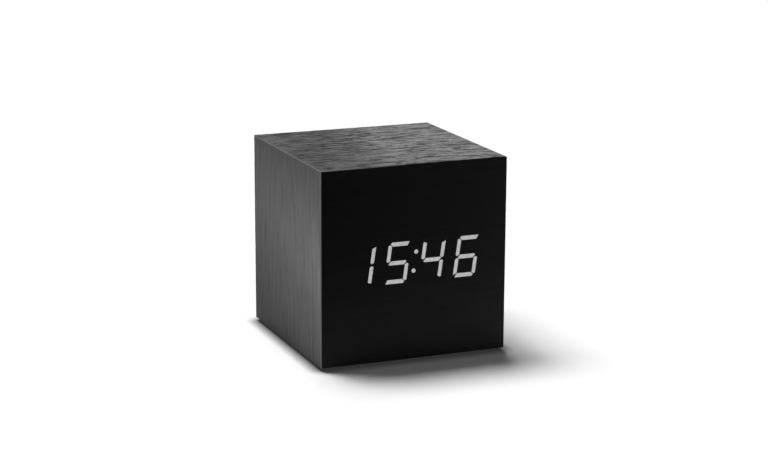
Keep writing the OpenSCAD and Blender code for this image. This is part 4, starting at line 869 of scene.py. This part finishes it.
# Sound mark: a loudspeaker with two sound waves, over the switch that turns the clap sensor on.
# Pad printed as the key marks are; the waves open away from the speaker's mouth.
switch_low, switch_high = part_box("sound_switch")
speaker_x = (switch_low.x + switch_high.x) / 2 + mark_size / 2
magnet_wide = mark_size * 0.5
magnet_high = mark_size * 0.7
cone_length = mark_size * 0.55
cone_flare = 2.4
wave_x = speaker_x - mark_size * 0.6
wave_sizes = (mark_size * 0.95, mark_size * 1.45)
arc_sides = 48
flat_box(speaker_x, mark_height, magnet_wide, magnet_high)
bpy.ops.mesh.select_all(action="DESELECT")
bpy.ops.object.mode_set(mode="OBJECT")
speaker = bpy.context.object
for edge in speaker.data.edges:
    ends = [speaker.matrix_world @ speaker.data.vertices[i].co for i in edge.vertices]
    edge.select = all(end.x < speaker_x for end in ends)
bpy.ops.object.mode_set(mode="EDIT")
bpy.ops.mesh.select_mode(type="EDGE")
bpy.ops.mesh.extrude_region_move(TRANSFORM_OT_translate={"value": (-cone_length, 0, 0)})
bpy.ops.transform.resize(value=(1, 1, cone_flare), center_override=(speaker_x, cover_face, mark_height))
sound_shapes = [raise_shape(ink_body)]
for wave_size in wave_sizes:
    flat_ring(arc_sides, wave_size, wave_x, mark_height)
    for lean in (-1, 1):
        bpy.ops.mesh.select_all(action="SELECT")
        bpy.ops.mesh.bisect(
            plane_co=(wave_x, cover_face, mark_height), plane_no=(0.7, 0, 0.7 * lean), clear_outer=True,
        )
    sound_shapes.append(raise_shape(ink_body))
print_mark("sound_mark", sound_shapes)


# Polarity mark: the usual sign of a plug with its plus at the middle, over the power inlet.
# Pad printed: minus ring, open cup, dot, plus ring, and the bars that join them.
inlet_low, inlet_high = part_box("power_inlet")
inlet_x = (inlet_low.x + inlet_high.x) / 2
ring_size = mark_size * 0.75
ring_edge = ring_size - ink_line / 2
ring_reach = mark_size * 2.9
dot_size = ring_size * 0.4
dot_sides = 24
cup_cut = ring_size * 0.55
minus_x = inlet_x + ring_reach
plus_x = inlet_x - ring_reach
polarity_shapes = [
    ring_shape(ring_size, minus_x, mark_height),
    ring_shape(ring_size, plus_x, mark_height),
    bar_shape(minus_x, mark_height, ring_size, ink_line),
    bar_shape(plus_x, mark_height, ring_size, ink_line),
    bar_shape(plus_x, mark_height, ink_line, ring_size),
    bar_shape((minus_x + inlet_x) / 2, mark_height, ring_reach - 2 * ring_size + ink_line, ink_line),
    bar_shape((plus_x + ring_edge + inlet_x) / 2, mark_height, ring_reach - ring_edge, ink_line),
]
flat_shape(dot_sides, dot_size, inlet_x, mark_height)
polarity_shapes.append(raise_shape(ink_body))
flat_ring(arc_sides, ring_size, inlet_x, mark_height)
bpy.ops.mesh.bisect(
    plane_co=(inlet_x - cup_cut, cover_face, mark_height), plane_no=(-1, 0, 0), clear_outer=True,
)
polarity_shapes.append(raise_shape(ink_body))
print_mark("polarity_mark", polarity_shapes)


# Door mark: a raised triangle under the door's tongue that shows where to press.
# Moulded with the door in black ABS, with sloping sides that let it leave the mould.
door_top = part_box("battery_door")[1].z
door_mark_size = 0.0024
door_mark_rise = 0.00035
door_mark_drop = 0.0116
flat_shape(3, door_mark_size, 0, door_top - door_mark_drop, math.pi)
bpy.ops.mesh.bevel(offset=door_mark_size / 5, segments=4, affect="VERTICES")
door_mark = raise_shape(ink_rise)
bpy.ops.object.mode_set(mode="EDIT")
bpy.ops.mesh.select_all(action="DESELECT")
bpy.ops.object.mode_set(mode="OBJECT")
for face in door_mark.data.polygons:
    face.select = face.normal.y > 0.9
bpy.ops.object.mode_set(mode="EDIT")
bpy.ops.mesh.select_mode(type="FACE")
bpy.ops.mesh.inset(thickness=door_mark_rise, depth=door_mark_rise)
bpy.ops.object.mode_set(mode="OBJECT")
door_mark.name = "door_mark"
door_mark.data.materials.append(black_abs)
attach(door_mark, "battery_lid")
